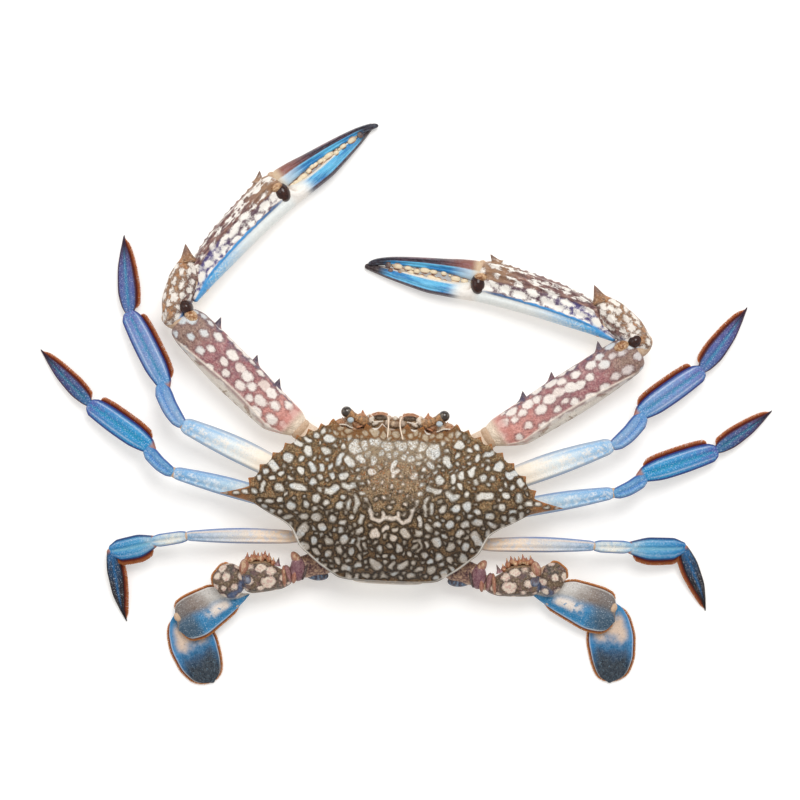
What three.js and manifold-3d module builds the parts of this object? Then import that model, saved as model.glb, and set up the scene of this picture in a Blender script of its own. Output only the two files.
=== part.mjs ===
// Blue swimming crab, an adult male at life size, standing still on a level floor.
// Millimetres. +X is the animal's right, +Y is forward, +Z is up, and the floor is at z = 0.
// The origin lies on the flat underside of the abdomen, below the middle of the body.

import * as THREE from 'three';
import { mergeVertices } from 'three/addons/utils/BufferGeometryUtils.js';
import Module from 'manifold-3d';

const wasm = await Module();
wasm.setup();

// ---- Driving dimensions ----

const GAP = 0.35; // clear space left between neighbouring pieces
const SECTION_SIDES = 8; // points round a limb's section
const SECTION_POWER = 2.4; // roundness of a section: 2 is an ellipse, more is boxier
const FINEST_EDGE = 0.08; // facets smaller than this are merged after a cut
const WELD = 1e-4; // points closer than this are one point
const SPINE_TIP = 0.17; // share of a spine's width that is left at its tip

const CARAPACE = {
  middleY: -3, // the shell's rings close in on this place on the middle line
  crown: 37, // height of the highest point
  rim: 22.3, // height of the margin at the sides
  frontLift: 3, // how much higher the margin is at the front edge
  rearDrop: 1.2, // how much lower it is at the back edge
  edgeReach: 36, // distance of those edges from the line across the middle
  rimThickness: 2,
  rings: [0.25, 0.5, 0.74, 0.92],
  domePower: 2.5,
  underRing: 0.93, // where the underside starts to slope inwards
  underDrop: 1.6,
  skirtHeight: 14.6, // level at which the shell stands on the thorax
  skirt: { halfWidth: 33, halfLength: 25, middle: -4.5 },
};

// The margin behind the side spines, on the right, from the spine back to the middle.
const REAR_MARGIN = [
  [66.5, -1.6], [53.8, -7.7], [47.5, -11], [43.4, -14.4], [39.7, -21.4], [36, -24.8], [24.4, -33.2],
  [20.5, -35], [12.3, -35.8], [0, -36],
];

// The margin between the eyes, on the right, from the middle outwards.
const FRONT_MARGIN = [[0, 31.6], [5.5, 31.8], [11.5, 31.2], [17.5, 30], [21.8, 30.6], [25.8, 32.4]];

// The curved margin in front of each side spine is one arc, and its teeth point away from the centre.
const TOOTHED_MARGIN = {
  centre: [0.7, -37.9],
  radius: 75.2,
  steps: 7,
  startBefore: 1, // degrees by which the arc starts before its first tooth
  endAfter: 1.5, // degrees by which it ends after its last
  toothBase: 72.2,
  toothLean: 0.8, // degrees by which a tooth's base lies ahead of its tip
  toothTip: 77.5,
  toothWidth: 4.6,
  toothThickness: 2.4,
  angles: [70.1, 65.7, 61.2, 56.9, 52.3, 47.2, 41.4, 35.6],
};
const SIDE_SPINE = { from: [61, 2.6], to: [76.1, 0], width: 5, thickness: 4.2 };
const FRONT_TEETH = [
  { from: [5.4, 29.5], to: [5.6, 34], width: 5, thickness: 1.8 },
  { from: [12, 28.8], to: [12.5, 33.4], width: 5.4, thickness: 1.8 },
  { from: [21.6, 28.5], to: [21.9, 31.8], width: 3.4, thickness: 1.8 },
];

// Thorax sections from back to front: y, then half widths of the belly, the flank and the top.
const THORAX_SECTIONS = [
  [-32.5, 7, 11, 13], [-28, 13, 19, 21], [-18, 18, 26, 29.5], [-6, 20, 28.5, 32],
  [6, 19, 27.5, 31.5], [13, 15, 22, 27], [18, 8, 13, 19],
];
const THORAX_HEIGHTS = { belly: 0, flank: 5, shoulder: 10 };

// The abdomen folds under the thorax. y, z of its middle, half width, thickness.
const ABDOMEN_SECTIONS = [
  [-31.5, 13, 10, 2.4], [-35.6, 10.5, 14.5, 2.6], [-36.8, 6, 15.5, 2.6], [-34, 1.6, 14.5, 2.6],
  [-27, 0.9, 12.5, 2.6], [-14, 0.9, 9, 2.6], [6, 0.9, 4.6, 2.6], [12, 0.9, 2, 2.4],
];

// The ledge round the mouth, seen between the eyes, with the spine below each eye.
const MOUTH_FRAME = { length: 46, y: 34.4, height: 17.6 };
const MOUTH_FRAME_ROWS = [
  [0, -0.5, 1.5, 1.5], [0.08, -2.6, 2.4, 3.6], [0.2, -3.4, 2.8, 4.6], [0.36, -3.2, 1.3, 5],
  [0.64, -3.2, 1.3, 5], [0.8, -3.4, 2.8, 4.6], [0.92, -2.6, 2.4, 3.6], [1, -0.5, 1.5, 1.5],
];
const SUBORBITAL_SPINE = { from: [14, 34.5], to: [14.4, 39.6], rise: 1, width: 3.2, thickness: 3 };

const MAXILLIPED = { root: [5.5, 18, 2.9], length: 16.5, rise: 13.5 };
const MAXILLIPED_ROWS = [
  [0, -2.2, 2.2, 2], [0.12, -3.9, 3.9, 3.2], [0.5, -4.9, 4.9, 3.6], [0.85, -4.6, 4.9, 3.4],
  [1, -2.8, 3.4, 2],
];

const EYE = { root: [12.3, 33.5, 23], heading: 27.5, length: 12.8, rise: 1.6 };
const EYE_ROWS = [
  [0, -1.7, 1.7, 3.4], [0.54, -1.6, 1.6, 3.2], [0.68, -2.3, 2.3, 4.6], [0.84, -2.4, 2.4, 4.8],
  [1, -0.9, 0.9, 1.8],
];

// Each feeler starts on the ledge, crosses towards the middle and curls back over the front.
const FEELER_RADIUS = 0.4;
const FEELER_STEPS = 9;
const FEELER_CURVE_STEPS = 3; // fineness of its round section
const FEELERS = {
  right: [[10.6, 37.2, 20.9], [6.4, 38, 22.6], [2.9, 36.8, 26.2], [2.3, 33.2, 29.4], [3.8, 27.2, 31.8]],
  left: [[-10.6, 37.2, 20.9], [-6, 38, 22.6], [-3.2, 36.8, 26.2], [-2.8, 33.2, 29.4], [-3, 27.8, 32]],
};

// ---- Limb shapes ----
// A row is [place along the segment, rear edge, front edge, thickness]. The place is a share of the
// distance between the joints, and the edges are measured from the line that joins them.

const COXA_ROWS = [[-0.1, -3.6, 3.6, 6.6], [0.4, -4.8, 4.8, 8.8], [1, -3.4, 3.4, 6.4]];

const CLAW_MERUS_ROWS = [
  [0, -4.4, 4.4, 8], [0.08, -7.8, 6.3, 11], [0.2, -11.3, 6.8, 12.4], [0.5, -11.6, 8.2, 13.2],
  [0.92, -9.4, 9, 13], [1, -8, 7.6, 11], [1.04, -5, 3.6, 7],
];
const CLAW_CARPUS_ROWS = [
  [-0.2, -8.6, -4, 7], [0.08, -10.8, -0.6, 12.4], [0.45, -12.5, 1, 13.8], [0.9, -12.3, 1.4, 13.8],
  [1.22, -10.6, 0, 12], [1.44, -8.8, -4, 7],
];
const CLAW_PALM_ROWS = [
  [-0.14, 4, 6.8, 4], [-0.02, -0.6, 6.8, 8], [0.1, -7, 6.9, 11.6], [0.25, -9.1, 7.2, 12.8],
  [0.5, -10.5, 7.7, 13.4], [0.9, -10.4, 9.3, 12.4], [1, -8.6, 10, 11.8], [1.05, 1.6, 10.5, 10.2],
  [1.2, 4.6, 11.9, 8.4], [1.4, 6.2, 13.2, 7], [1.65, 7.8, 12.9, 5], [1.88, 10.6, 11.8, 1.6],
];
const CLAW_FINGER_ROWS = [
  [-0.05, -6, -1, 5.4], [0.04, -8.4, 1, 8.8], [0.15, -8.2, 0.3, 8.4], [0.3, -7.4, -0.8, 7.4],
  [0.55, -6.3, -1.4, 6], [0.78, -4.9, -1.1, 4.4], [0.92, -3.2, -0.7, 3], [1, -1, -0.2, 1.3],
];

const WALKING_MERUS_ROWS = [
  [0, -3, 3, 5.4], [0.2, -4.9, 5.2, 7.2], [0.52, -5, 6.2, 7.2], [0.96, -3.6, 4, 6.4],
  [1.01, -2.2, 2.4, 4.4],
];
const WALKING_CARPUS_ROWS = [
  [0, -2.4, 1.6, 4.4], [0.16, -4.6, 1.8, 6.2], [0.5, -5.6, 1.8, 6.6], [0.86, -5.2, 2.4, 6],
  [1.06, -3, 1.8, 4],
];
const WALKING_PROPODUS_ROWS = [
  [-0.08, -0.8, 3.4, 2.4], [0.05, -2.8, 6.6, 4], [0.3, -4.6, 7.6, 4.6], [0.65, -5.1, 7.2, 4.6],
  [0.92, -4.9, 6, 4], [1.02, -2.6, 3.6, 2.6],
];
const WALKING_DACTYLUS_ROWS = [
  [-0.04, -1.2, 2, 2.2], [0.1, -3.7, 4.6, 3.4], [0.3, -4.8, 5.2, 3.4], [0.55, -4.3, 4.5, 3],
  [0.8, -2.5, 3, 2.3], [1, -0.4, 0.4, 1],
];
const THIRD_CARPUS_ROWS = [
  [0, -2, 1.9, 4], [0.2, -2.8, 2.7, 5.4], [0.8, -3, 2.8, 5.2], [1.06, -2, 2, 3.6],
];
const THIRD_PROPODUS_ROWS = [
  [-0.2, -2.6, 0.6, 2.2], [0.06, -5.6, 2.9, 3.8], [0.4, -7.6, 4.7, 4.4], [0.78, -7, 4.8, 4.2],
  [1.02, -3.4, 2.6, 2.6],
];
const THIRD_DACTYLUS_ROWS = [
  [-0.04, -2, 1.6, 2.2], [0.1, -4.4, 3, 3.2], [0.3, -4.6, 3.9, 3.2], [0.55, -3.7, 3.8, 2.9],
  [0.82, -1.9, 2.2, 2.2], [1, -0.4, 0.4, 1],
];
const SWIM_MERUS_ROWS = [
  [0, -5.2, 1.6, 6.6], [0.14, -7, 2.6, 8], [0.3, -7.8, 5, 9.4], [0.5, -7.8, 8.4, 10.4],
  [0.85, -7.4, 9, 10], [1.04, -5, 7, 7],
];
const SWIM_CARPUS_ROWS = [
  [-0.32, 1.4, 6.4, 4], [-0.1, -1.4, 9.2, 6.6], [0.3, -3.4, 11.1, 7.8], [0.8, -3.8, 11, 7.4],
  [1.15, -1.8, 8.6, 6], [1.34, 0.8, 5.2, 4],
];
const SWIM_PROPODUS_ROWS = [
  [-0.3, -5.6, -3, 1.8], [-0.1, -7.6, -0.4, 3], [0.12, -9.6, 5, 3.8], [0.35, -11.2, 7.6, 3.8],
  [0.75, -13.3, 8, 3.2], [1, -11.8, 6, 2.8], [1.13, -8, -3, 2],
];
const PADDLE_ROWS = [
  [-0.1, -3, 2.4, 1.6], [0.04, -7.5, 7.2, 2.2], [0.2, -9.8, 9.9, 2.3], [0.42, -10.6, 11.4, 2.3],
  [0.62, -9.6, 11.2, 2.2], [0.85, -6.8, 8.3, 2], [1, -2.8, 1.4, 1.6],
];

// The segments of each kind of limb from the body outwards, their rows, and what their widths are
// multiplied by.
const CLAW_NAMES = ['coxa', 'merus', 'carpus', 'palm', 'dactylus'];
const WALKING_NAMES = ['coxa', 'merus', 'carpus', 'propodus', 'dactylus'];
const SWIM_NAMES = ['coxa', 'merus', 'carpus', 'propodus', 'paddle'];
const WALKING_ROWS = [
  COXA_ROWS, WALKING_MERUS_ROWS, WALKING_CARPUS_ROWS, WALKING_PROPODUS_ROWS, WALKING_DACTYLUS_ROWS,
];
const LIMBS = {
  cheliped: {
    names: CLAW_NAMES,
    rows: [COXA_ROWS, CLAW_MERUS_ROWS, CLAW_CARPUS_ROWS, CLAW_PALM_ROWS, CLAW_FINGER_ROWS],
    widths: [1.4, 1, 1, 1, 1],
  },
  leg1: { names: WALKING_NAMES, rows: WALKING_ROWS, widths: [1, 1, 1, 1, 1] },
  leg2: { names: WALKING_NAMES, rows: WALKING_ROWS, widths: [1, 0.78, 0.85, 1, 0.85] },
  leg3: {
    names: WALKING_NAMES,
    rows: [COXA_ROWS, WALKING_MERUS_ROWS, THIRD_CARPUS_ROWS, THIRD_PROPODUS_ROWS, THIRD_DACTYLUS_ROWS],
    widths: [0.95, 0.62, 1, 1, 1],
  },
  swimming_leg: {
    names: SWIM_NAMES,
    rows: [COXA_ROWS, SWIM_MERUS_ROWS, SWIM_CARPUS_ROWS, SWIM_PROPODUS_ROWS, PADDLE_ROWS],
    widths: [1.15, 1, 1, 1, 1],
  },
};

// ---- Pose ----
// For each limb, the point where it leaves the body, then for each segment its length seen from
// above, its heading in degrees (0 is straight out to the side, 90 straight forward) and the height
// of its far joint. A fourth number is the height of its near joint, where one segment lies under
// the next instead of meeting it end to end.

const ROOTS = {
  cheliped: [25, 15, 8.6],
  leg1: [27, 1.5, 8.2],
  leg2: [28, -8, 8.2],
  leg3: [27, -17.5, 8.2],
  swimming_leg: [25, -28.5, 9.6],
};
const POSE = {
  right: {
    cheliped: [
      [22.4, 40.7, 11], [74.8, 32.9, 12.4], [19.5, 137.7, 11], [57.8, 163.4, 5.7], [50.6, 174.3, 2.3],
    ],
    leg1: [[11.5, 17.7, 9.2], [62.8, 21.9, 15.2], [19, 46.9, 11.5], [34.3, 39.4, 5], [34.9, 55.6, 0.45]],
    leg2: [[11.2, 10.3, 9.2], [60.2, 12.9, 15.2], [15.7, 29.3, 12], [35, 22.5, 5], [31.1, 36.8, 0.45]],
    leg3: [[10, -5.7, 9.2], [53.9, 2.2, 14], [16.3, 0.4, 11], [24.6, 0, 5.4], [29.4, -67.6, 0.45]],
    swimming_leg: [
      [18.6, -14, 11.6], [24.3, 0.5, 11.8], [7.5, -35.2, 11.6], [27.8, -14.8, 4.8, 6.8],
      [34.1, -87.5, 1.1, 1.1],
    ],
  },
  left: {
    cheliped: [
      [22.4, 40.7, 11], [70.3, 40.1, 12.4], [19.4, 103.1, 11], [55.9, 129.7, 5.7], [52.1, 144.1, 2.3],
    ],
    leg1: [[11.5, 17.7, 9.2], [60.6, 23.4, 15.2], [19.8, 58.4, 11.5], [36.1, 62.3, 5], [34.9, 82.4, 0.45]],
    leg2: [[11.2, 10.3, 9.2], [59.3, 13.3, 15.2], [15.9, 39.4, 12], [33.2, 34.5, 5], [33.3, 44.1, 0.45]],
    leg3: [[10, -5.7, 9.2], [53.2, -1.8, 14], [15.1, -11.5, 11], [20.3, -17.5, 5.4], [31.5, -104.3, 0.45]],
    swimming_leg: [
      [18.6, -14, 11.6], [22.1, -12.8, 11.8], [9, -51.7, 11.6], [25.1, -28.5, 4.8, 6.8],
      [33.4, -118.3, 1.1, 1.1],
    ],
  },
};

// Spines on the claw's segments: place along the segment and offset from the line between its
// joints, first at the spine's base and then at its tip.
const CLAW_SPINES = {
  coxa: [],
  merus: [[0.285, 5.5, 0.315, 9.4], [0.485, 5.5, 0.52, 10.2], [0.82, 5.5, 0.85, 11.6]],
  carpus: [[1.15, -10, 1.72, -9.4], [0.95, 0, 1.27, 3.2]],
  palm: [[0.9, -9.4, 0.99, -12]],
  dactylus: [],
};
const CLAW_SPINE = { width: 4.4, thickness: 3.4 };

// ---- Finishes ----

const COLOURS = {
  carapace: 0x8a7f5e,
  underside: 0xe6ddcd,
  eye: 0x2c2723,
  feeler: 0xd8c9b4,
  coxa: 0xe2d2bd,
  merus: 0x9a7f79,
  carpus: 0x8d8378,
  palm: 0x8fa3bd,
  dactylus: 0x3f6fb4,
  walking: 0x8fa6cf,
  walkingTip: 0x4a62a8,
  paddle: 0x5a7fae,
};

function shellMaterial(colour) {
  return new THREE.MeshStandardMaterial({ color: colour, roughness: 0.5, metalness: 0 });
}

// ---- Solids ----

function signedVolume(points, faces) {
  let sum = 0;
  for (let i = 0; i < faces.length; i += 3) {
    const [a, b, c] = [points[faces[i]], points[faces[i + 1]], points[faces[i + 2]]];
    sum += a.dot(new THREE.Vector3().crossVectors(b, c));
  }
  return sum / 6;
}

// Joins a row of rings, each with the same number of points, and closes both ends on their middles.
function skin(rings) {
  const count = rings[0].length;
  const points = rings.flat();
  const faces = [];
  for (let row = 0; row + 1 < rings.length; row += 1) {
    for (let i = 0; i < count; i += 1) {
      const j = (i + 1) % count;
      const [a, b] = [row * count + i, row * count + j];
      faces.push(a, b, b + count, a, b + count, a + count);
    }
  }
  for (const [start, flip] of [[0, true], [(rings.length - 1) * count, false]]) {
    const middle = new THREE.Vector3();
    for (let i = 0; i < count; i += 1) {
      middle.addScaledVector(points[start + i], 1 / count);
    }
    points.push(middle);
    for (let i = 0; i < count; i += 1) {
      const j = (i + 1) % count;
      const pair = flip ? [start + j, start + i] : [start + i, start + j];
      faces.push(...pair, points.length - 1);
    }
  }
  if (signedVolume(points, faces) < 0) {
    faces.reverse();
  }
  return solidOf(points.flatMap((p) => p.toArray()), faces);
}

function solidOf(positions, faces) {
  return new wasm.Manifold(new wasm.Mesh({
    numProp: 3,
    vertProperties: new Float32Array(positions),
    triVerts: new Uint32Array(faces),
  }));
}

function solidOfGeometry(geometry) {
  const bare = geometry.clone();
  bare.deleteAttribute('normal');
  bare.deleteAttribute('uv');
  const merged = mergeVertices(bare, WELD);
  return solidOf(Array.from(merged.attributes.position.array), Array.from(merged.index.array));
}

function roundedPower(value) {
  return Math.sign(value) * Math.abs(value) ** (2 / SECTION_POWER);
}

// The corners of a rounded section between -1 and 1 both ways, with a flat on each of its four sides.
function sectionCorners(sides) {
  const reach = roundedPower(Math.cos(Math.PI / sides));
  return Array.from({ length: sides }, (_, i) => {
    const turn = (i + 0.5) / sides * 2 * Math.PI;
    return [roundedPower(Math.cos(turn)) / reach, roundedPower(Math.sin(turn)) / reach];
  });
}

// The frame of a segment: X runs from its near joint to its far joint, and Z stays upright.
function segmentFrame(start, end) {
  const run = Math.hypot(end.x - start.x, end.y - start.y);
  const frame = new THREE.Object3D();
  frame.position.copy(start);
  const pitch = -Math.atan2(end.z - start.z, run);
  const heading = Math.atan2(end.y - start.y, end.x - start.x);
  frame.rotation.set(0, pitch, heading, 'ZYX');
  frame.updateMatrix();
  const { matrix, position, rotation } = frame;
  return { matrix, position, rotation, length: start.distanceTo(end) };
}

// Oval sections along a segment, swollen by grow all round. side is 1 on the right, -1 on the left.
function segmentSolid(frame, rows, { side = 1, width = 1, grow = 0 }) {
  const rings = rows.map(([along, rear, front, thickness], index) => {
    const end = index === 0 ? -1 : Number(index === rows.length - 1);
    const x = along * frame.length + end * grow;
    const halfWidth = (front - rear) * width / 2 + grow;
    const middle = (front + rear) * width / 2;
    const halfHeight = thickness * Math.sqrt(width) / 2 + grow;
    return sectionCorners(SECTION_SIDES).map(([across, up]) => new THREE.Vector3(
      x, side * (middle + halfWidth * across), halfHeight * up).applyMatrix4(frame.matrix));
  });
  return skin(rings);
}

// A four-edged spine with a blunt tip, from one point to another.
function spineSolid(from, to, width, thickness) {
  const axis = new THREE.Vector3().subVectors(to, from);
  const across = new THREE.Vector3(-axis.y, axis.x, 0).normalize();
  const up = new THREE.Vector3().crossVectors(axis, across).normalize();
  return skin([[0, 1], [1, SPINE_TIP]].map(([along, size]) =>
    [[1, 0], [0, 1], [-1, 0], [0, -1]].map(([x, z]) => new THREE.Vector3().copy(from)
      .addScaledVector(axis, along)
      .addScaledVector(across, x * width / 2 * size)
      .addScaledVector(up, z * thickness / 2 * size))));
}

// Takes the heaviest piece of a cut solid, without the crumbs that a cut can leave.
function tidied(solid) {
  const pieces = solid.simplify(FINEST_EDGE).decompose();
  return pieces.reduce((best, piece) => (piece.volume() > best.volume() ? piece : best));
}

function hollowed(solid, cutters) {
  return cutters.reduce((left, cutter) => left.subtract(cutter), solid);
}

function onFloor(solid) {
  return solid.trimByPlane([0, 0, 1], 0);
}

// ---- Pieces ----

const crab = new THREE.Group();

function place(name, solid, colour, frame) {
  const mesh = new THREE.Mesh(new THREE.BufferGeometry(), shellMaterial(colour));
  const { vertProperties, triVerts } = tidied(solid).getMesh();
  mesh.geometry.setAttribute('position', new THREE.BufferAttribute(new Float32Array(vertProperties), 3));
  mesh.geometry.setIndex(Array.from(triVerts));
  if (frame) {
    mesh.geometry.applyMatrix4(new THREE.Matrix4().copy(frame.matrix).invert());
    mesh.position.copy(frame.position);
    mesh.rotation.copy(frame.rotation);
  }
  mesh.name = name;
  crab.add(mesh);
}

function headingStep(side, length, heading) {
  const turn = THREE.MathUtils.degToRad(heading);
  return [side * length * Math.cos(turn), length * Math.sin(turn)];
}

function limbFrames(limb, sideName) {
  const side = sideName === 'right' ? 1 : -1;
  const [x, y, z] = ROOTS[limb];
  let joint = new THREE.Vector3(side * x, y, z);
  return POSE[sideName][limb].map(([length, heading, height, startHeight = joint.z]) => {
    const [dx, dy] = headingStep(side, length, heading);
    const start = new THREE.Vector3(joint.x, joint.y, startHeight);
    joint = new THREE.Vector3(start.x + dx, start.y + dy, height);
    return segmentFrame(start, joint);
  });
}

function segmentPoint(frame, side, along, offset) {
  return new THREE.Vector3(along * frame.length, side * offset, 0).applyMatrix4(frame.matrix);
}

// Spines of a claw's segments, each from a point inside the segment to its tip.
function clawSpines(name, frame, side) {
  return CLAW_SPINES[name].map(([baseAlong, baseOffset, tipAlong, tipOffset]) => spineSolid(
    segmentPoint(frame, side, baseAlong, baseOffset),
    segmentPoint(frame, side, tipAlong, tipOffset),
    CLAW_SPINE.width,
    CLAW_SPINE.thickness,
  ));
}

function segmentColour(limb, name) {
  if (name === 'coxa') {
    return COLOURS.coxa;
  }
  if (limb.startsWith('leg')) {
    return name === 'dactylus' ? COLOURS.walkingTip : COLOURS.walking;
  }
  return COLOURS[name] ?? COLOURS.walking;
}

// Builds one limb from its tip inwards, each segment hollowed where the next one enters it.
// Gives back the swollen coxa, which the thorax is hollowed by.
function makeLimb(limb, sideName) {
  const side = sideName === 'right' ? 1 : -1;
  const { names, rows, widths } = LIMBS[limb];
  const frames = limbFrames(limb, sideName);
  const shape = (index, grow) => {
    const body = segmentSolid(frames[index], rows[index], { side, width: widths[index], grow });
    const spines = limb === 'cheliped' && grow === 0 ? clawSpines(names[index], frames[index], side) : [];
    return spines.reduce((whole, spine) => whole.add(spine), body);
  };
  names.forEach((name, index) => {
    const outer = [index + 1, index + 2].filter((next) => next < names.length);
    const cutters = outer.map((next) => shape(next, GAP));
    const solid = onFloor(hollowed(shape(index, 0), cutters));
    place(`${limb}_${sideName}_${name}`, solid, segmentColour(limb, name), frames[index]);
  });
  return shape(0, GAP);
}

function arcPoint(reach, degrees) {
  const [centreX, centreY] = TOOTHED_MARGIN.centre;
  const turn = THREE.MathUtils.degToRad(degrees);
  return [centreX + reach * Math.cos(turn), centreY + reach * Math.sin(turn)];
}

function marginOutline() {
  const { radius, steps, startBefore, endAfter, angles } = TOOTHED_MARGIN;
  const arcStart = angles[0] + startBefore;
  const arcEnd = angles.at(-1) - endAfter;
  const arc = Array.from({ length: steps + 1 }, (_, i) =>
    arcPoint(radius, arcStart + (arcEnd - arcStart) * i / steps));
  const right = [...FRONT_MARGIN, ...arc, ...REAR_MARGIN];
  const left = right.slice(1, -1).reverse().map(([x, y]) => [-x, y]);
  return [...right, ...left];
}

function rimHeight(y) {
  const share = y / CARAPACE.edgeReach;
  return CARAPACE.rim + (share > 0 ? CARAPACE.frontLift : -CARAPACE.rearDrop) * share * share;
}

function skirtPoint(turn) {
  const { halfWidth, halfLength, middle } = CARAPACE.skirt;
  const reach = (Math.abs(Math.cos(turn) / halfWidth) ** SECTION_POWER
    + Math.abs(Math.sin(turn) / halfLength) ** SECTION_POWER) ** (-1 / SECTION_POWER);
  return [reach * Math.cos(turn), middle + reach * Math.sin(turn)];
}

function makeCarapace(cutters) {
  const { middleY } = CARAPACE;
  const outline = marginOutline();
  const halfRim = CARAPACE.rimThickness / 2;
  const ringAt = (share, heightOf) => outline.map(([x, y]) =>
    new THREE.Vector3(x * share, middleY + (y - middleY) * share, heightOf(rimHeight(y))));
  const dome = CARAPACE.rings.map((share) => ringAt(share, (rim) =>
    rim + halfRim + (CARAPACE.crown - rim - halfRim) * (1 - share ** CARAPACE.domePower)));
  const skirt = outline.map(([x, y]) => {
    const [skirtX, skirtY] = skirtPoint(Math.atan2(y - middleY, x));
    return new THREE.Vector3(skirtX, skirtY, CARAPACE.skirtHeight);
  });
  let shell = skin([
    ...dome,
    ringAt(1, (rim) => rim + halfRim),
    ringAt(1, (rim) => rim - halfRim),
    ringAt(CARAPACE.underRing, (rim) => rim - halfRim - CARAPACE.underDrop),
    skirt,
  ]);
  for (const tooth of marginTeeth()) {
    shell = shell.add(tooth);
  }
  place('carapace', hollowed(shell, cutters), COLOURS.carapace);
}

function marginTeeth() {
  const { toothBase, toothLean, toothTip, toothWidth, toothThickness, angles } = TOOTHED_MARGIN;
  const teeth = [
    ...FRONT_TEETH,
    ...angles.map((degrees) => ({
      from: arcPoint(toothBase, degrees + toothLean),
      to: arcPoint(toothTip, degrees),
      width: toothWidth,
      thickness: toothThickness,
    })),
    SIDE_SPINE,
  ];
  return teeth.flatMap(({ from, to, width, thickness }) => [1, -1].map((side) => spineSolid(
    new THREE.Vector3(side * from[0], from[1], rimHeight(from[1])),
    new THREE.Vector3(side * to[0], to[1], rimHeight(to[1])), width, thickness)));
}

function thoraxSolid() {
  const top = CARAPACE.skirtHeight - GAP;
  const { belly, flank, shoulder } = THORAX_HEIGHTS;
  return skin(THORAX_SECTIONS.map(([y, bellyHalf, flankHalf, topHalf]) => {
    const shoulderHalf = (flankHalf + topHalf) / 2;
    const right = [[bellyHalf, belly], [flankHalf, flank], [shoulderHalf, shoulder], [topHalf, top]];
    const left = right.toReversed().map(([x, z]) => [-x, z]);
    return [...right, ...left].map(([x, z]) => new THREE.Vector3(x, y, z));
  }));
}

function abdomenSolid(grow) {
  const rings = ABDOMEN_SECTIONS.map(([y, z, halfWidth, thickness], index) => {
    const before = ABDOMEN_SECTIONS[Math.max(index - 1, 0)];
    const after = ABDOMEN_SECTIONS[Math.min(index + 1, ABDOMEN_SECTIONS.length - 1)];
    const tangent = new THREE.Vector3(0, after[0] - before[0], after[1] - before[1]).normalize();
    const normal = new THREE.Vector3(0, -tangent.z, tangent.y);
    const end = index === 0 ? -1 : Number(index === ABDOMEN_SECTIONS.length - 1);
    return sectionCorners(SECTION_SIDES).map(([across, up]) => new THREE.Vector3(0, y, z)
      .setX((halfWidth + grow) * across)
      .addScaledVector(normal, (thickness / 2 + grow) * up)
      .addScaledVector(tangent, end * grow));
  });
  return skin(rings);
}

function makeMouthFrame() {
  const { length, y, height } = MOUTH_FRAME;
  const [start, end] = [-length / 2, length / 2].map((x) => new THREE.Vector3(x, y, height));
  const frame = segmentFrame(start, end);
  const { from, to, rise, width, thickness } = SUBORBITAL_SPINE;
  let ledge = segmentSolid(frame, MOUTH_FRAME_ROWS, {});
  for (const side of [1, -1]) {
    ledge = ledge.add(spineSolid(new THREE.Vector3(side * from[0], from[1], height),
      new THREE.Vector3(side * to[0], to[1], height + rise), width, thickness));
  }
  return { ledge, frame };
}

function pairedFrame({ root, heading = 90, length, rise }, side) {
  const start = new THREE.Vector3(side * root[0], root[1], root[2]);
  const [dx, dy] = headingStep(side, length, heading);
  return segmentFrame(start, new THREE.Vector3(start.x + dx, start.y + dy, start.z + rise));
}

function feelerSolid(points, radius) {
  const section = new THREE.Shape();
  section.absarc(0, 0, radius, 0, 2 * Math.PI);
  const path = new THREE.CatmullRomCurve3(points.map((p) => new THREE.Vector3(...p)));
  const settings = {
    steps: FEELER_STEPS,
    curveSegments: FEELER_CURVE_STEPS,
    extrudePath: path,
    bevelEnabled: false,
  };
  return solidOfGeometry(new THREE.ExtrudeGeometry(section, settings));
}

// ---- Assembly ----

const headCutters = [];
const plateCutters = [];
const thoraxCutters = [abdomenSolid(GAP)];

for (const sideName of ['left', 'right']) {
  const side = sideName === 'right' ? 1 : -1;
  for (const limb of Object.keys(LIMBS)) {
    thoraxCutters.push(makeLimb(limb, sideName));
  }
  const eyeFrame = pairedFrame(EYE, side);
  headCutters.push(segmentSolid(eyeFrame, EYE_ROWS, { side, grow: GAP }));
  place(`eye_${sideName}`, segmentSolid(eyeFrame, EYE_ROWS, { side }), COLOURS.eye, eyeFrame);

  const plateFrame = pairedFrame(MAXILLIPED, side);
  const plate = segmentSolid(plateFrame, MAXILLIPED_ROWS, { side });
  plateCutters.push(segmentSolid(plateFrame, MAXILLIPED_ROWS, { side, grow: GAP }));
  place(`maxilliped_${sideName}`, plate, COLOURS.underside, plateFrame);

  place(`antenna_${sideName}`, feelerSolid(FEELERS[sideName], FEELER_RADIUS), COLOURS.feeler);
}

const { ledge, frame: ledgeFrame } = makeMouthFrame();
place('mouth_frame', hollowed(ledge, plateCutters), COLOURS.underside, ledgeFrame);
place('abdomen', onFloor(abdomenSolid(0)), COLOURS.underside);
place('thorax', hollowed(thoraxSolid(), [...thoraxCutters, ...plateCutters]), COLOURS.underside);
makeCarapace([...headCutters, abdomenSolid(GAP)]);

export default crab;
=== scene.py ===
"""Blue swimming crab, an adult male at life size, standing still on a pale floor.

Sizes are in millimetres until a mesh is made, and metres after that.
+X is the animal's right, +Y is forward, +Z is up.
"""

from collections import namedtuple
from math import hypot, radians

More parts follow.
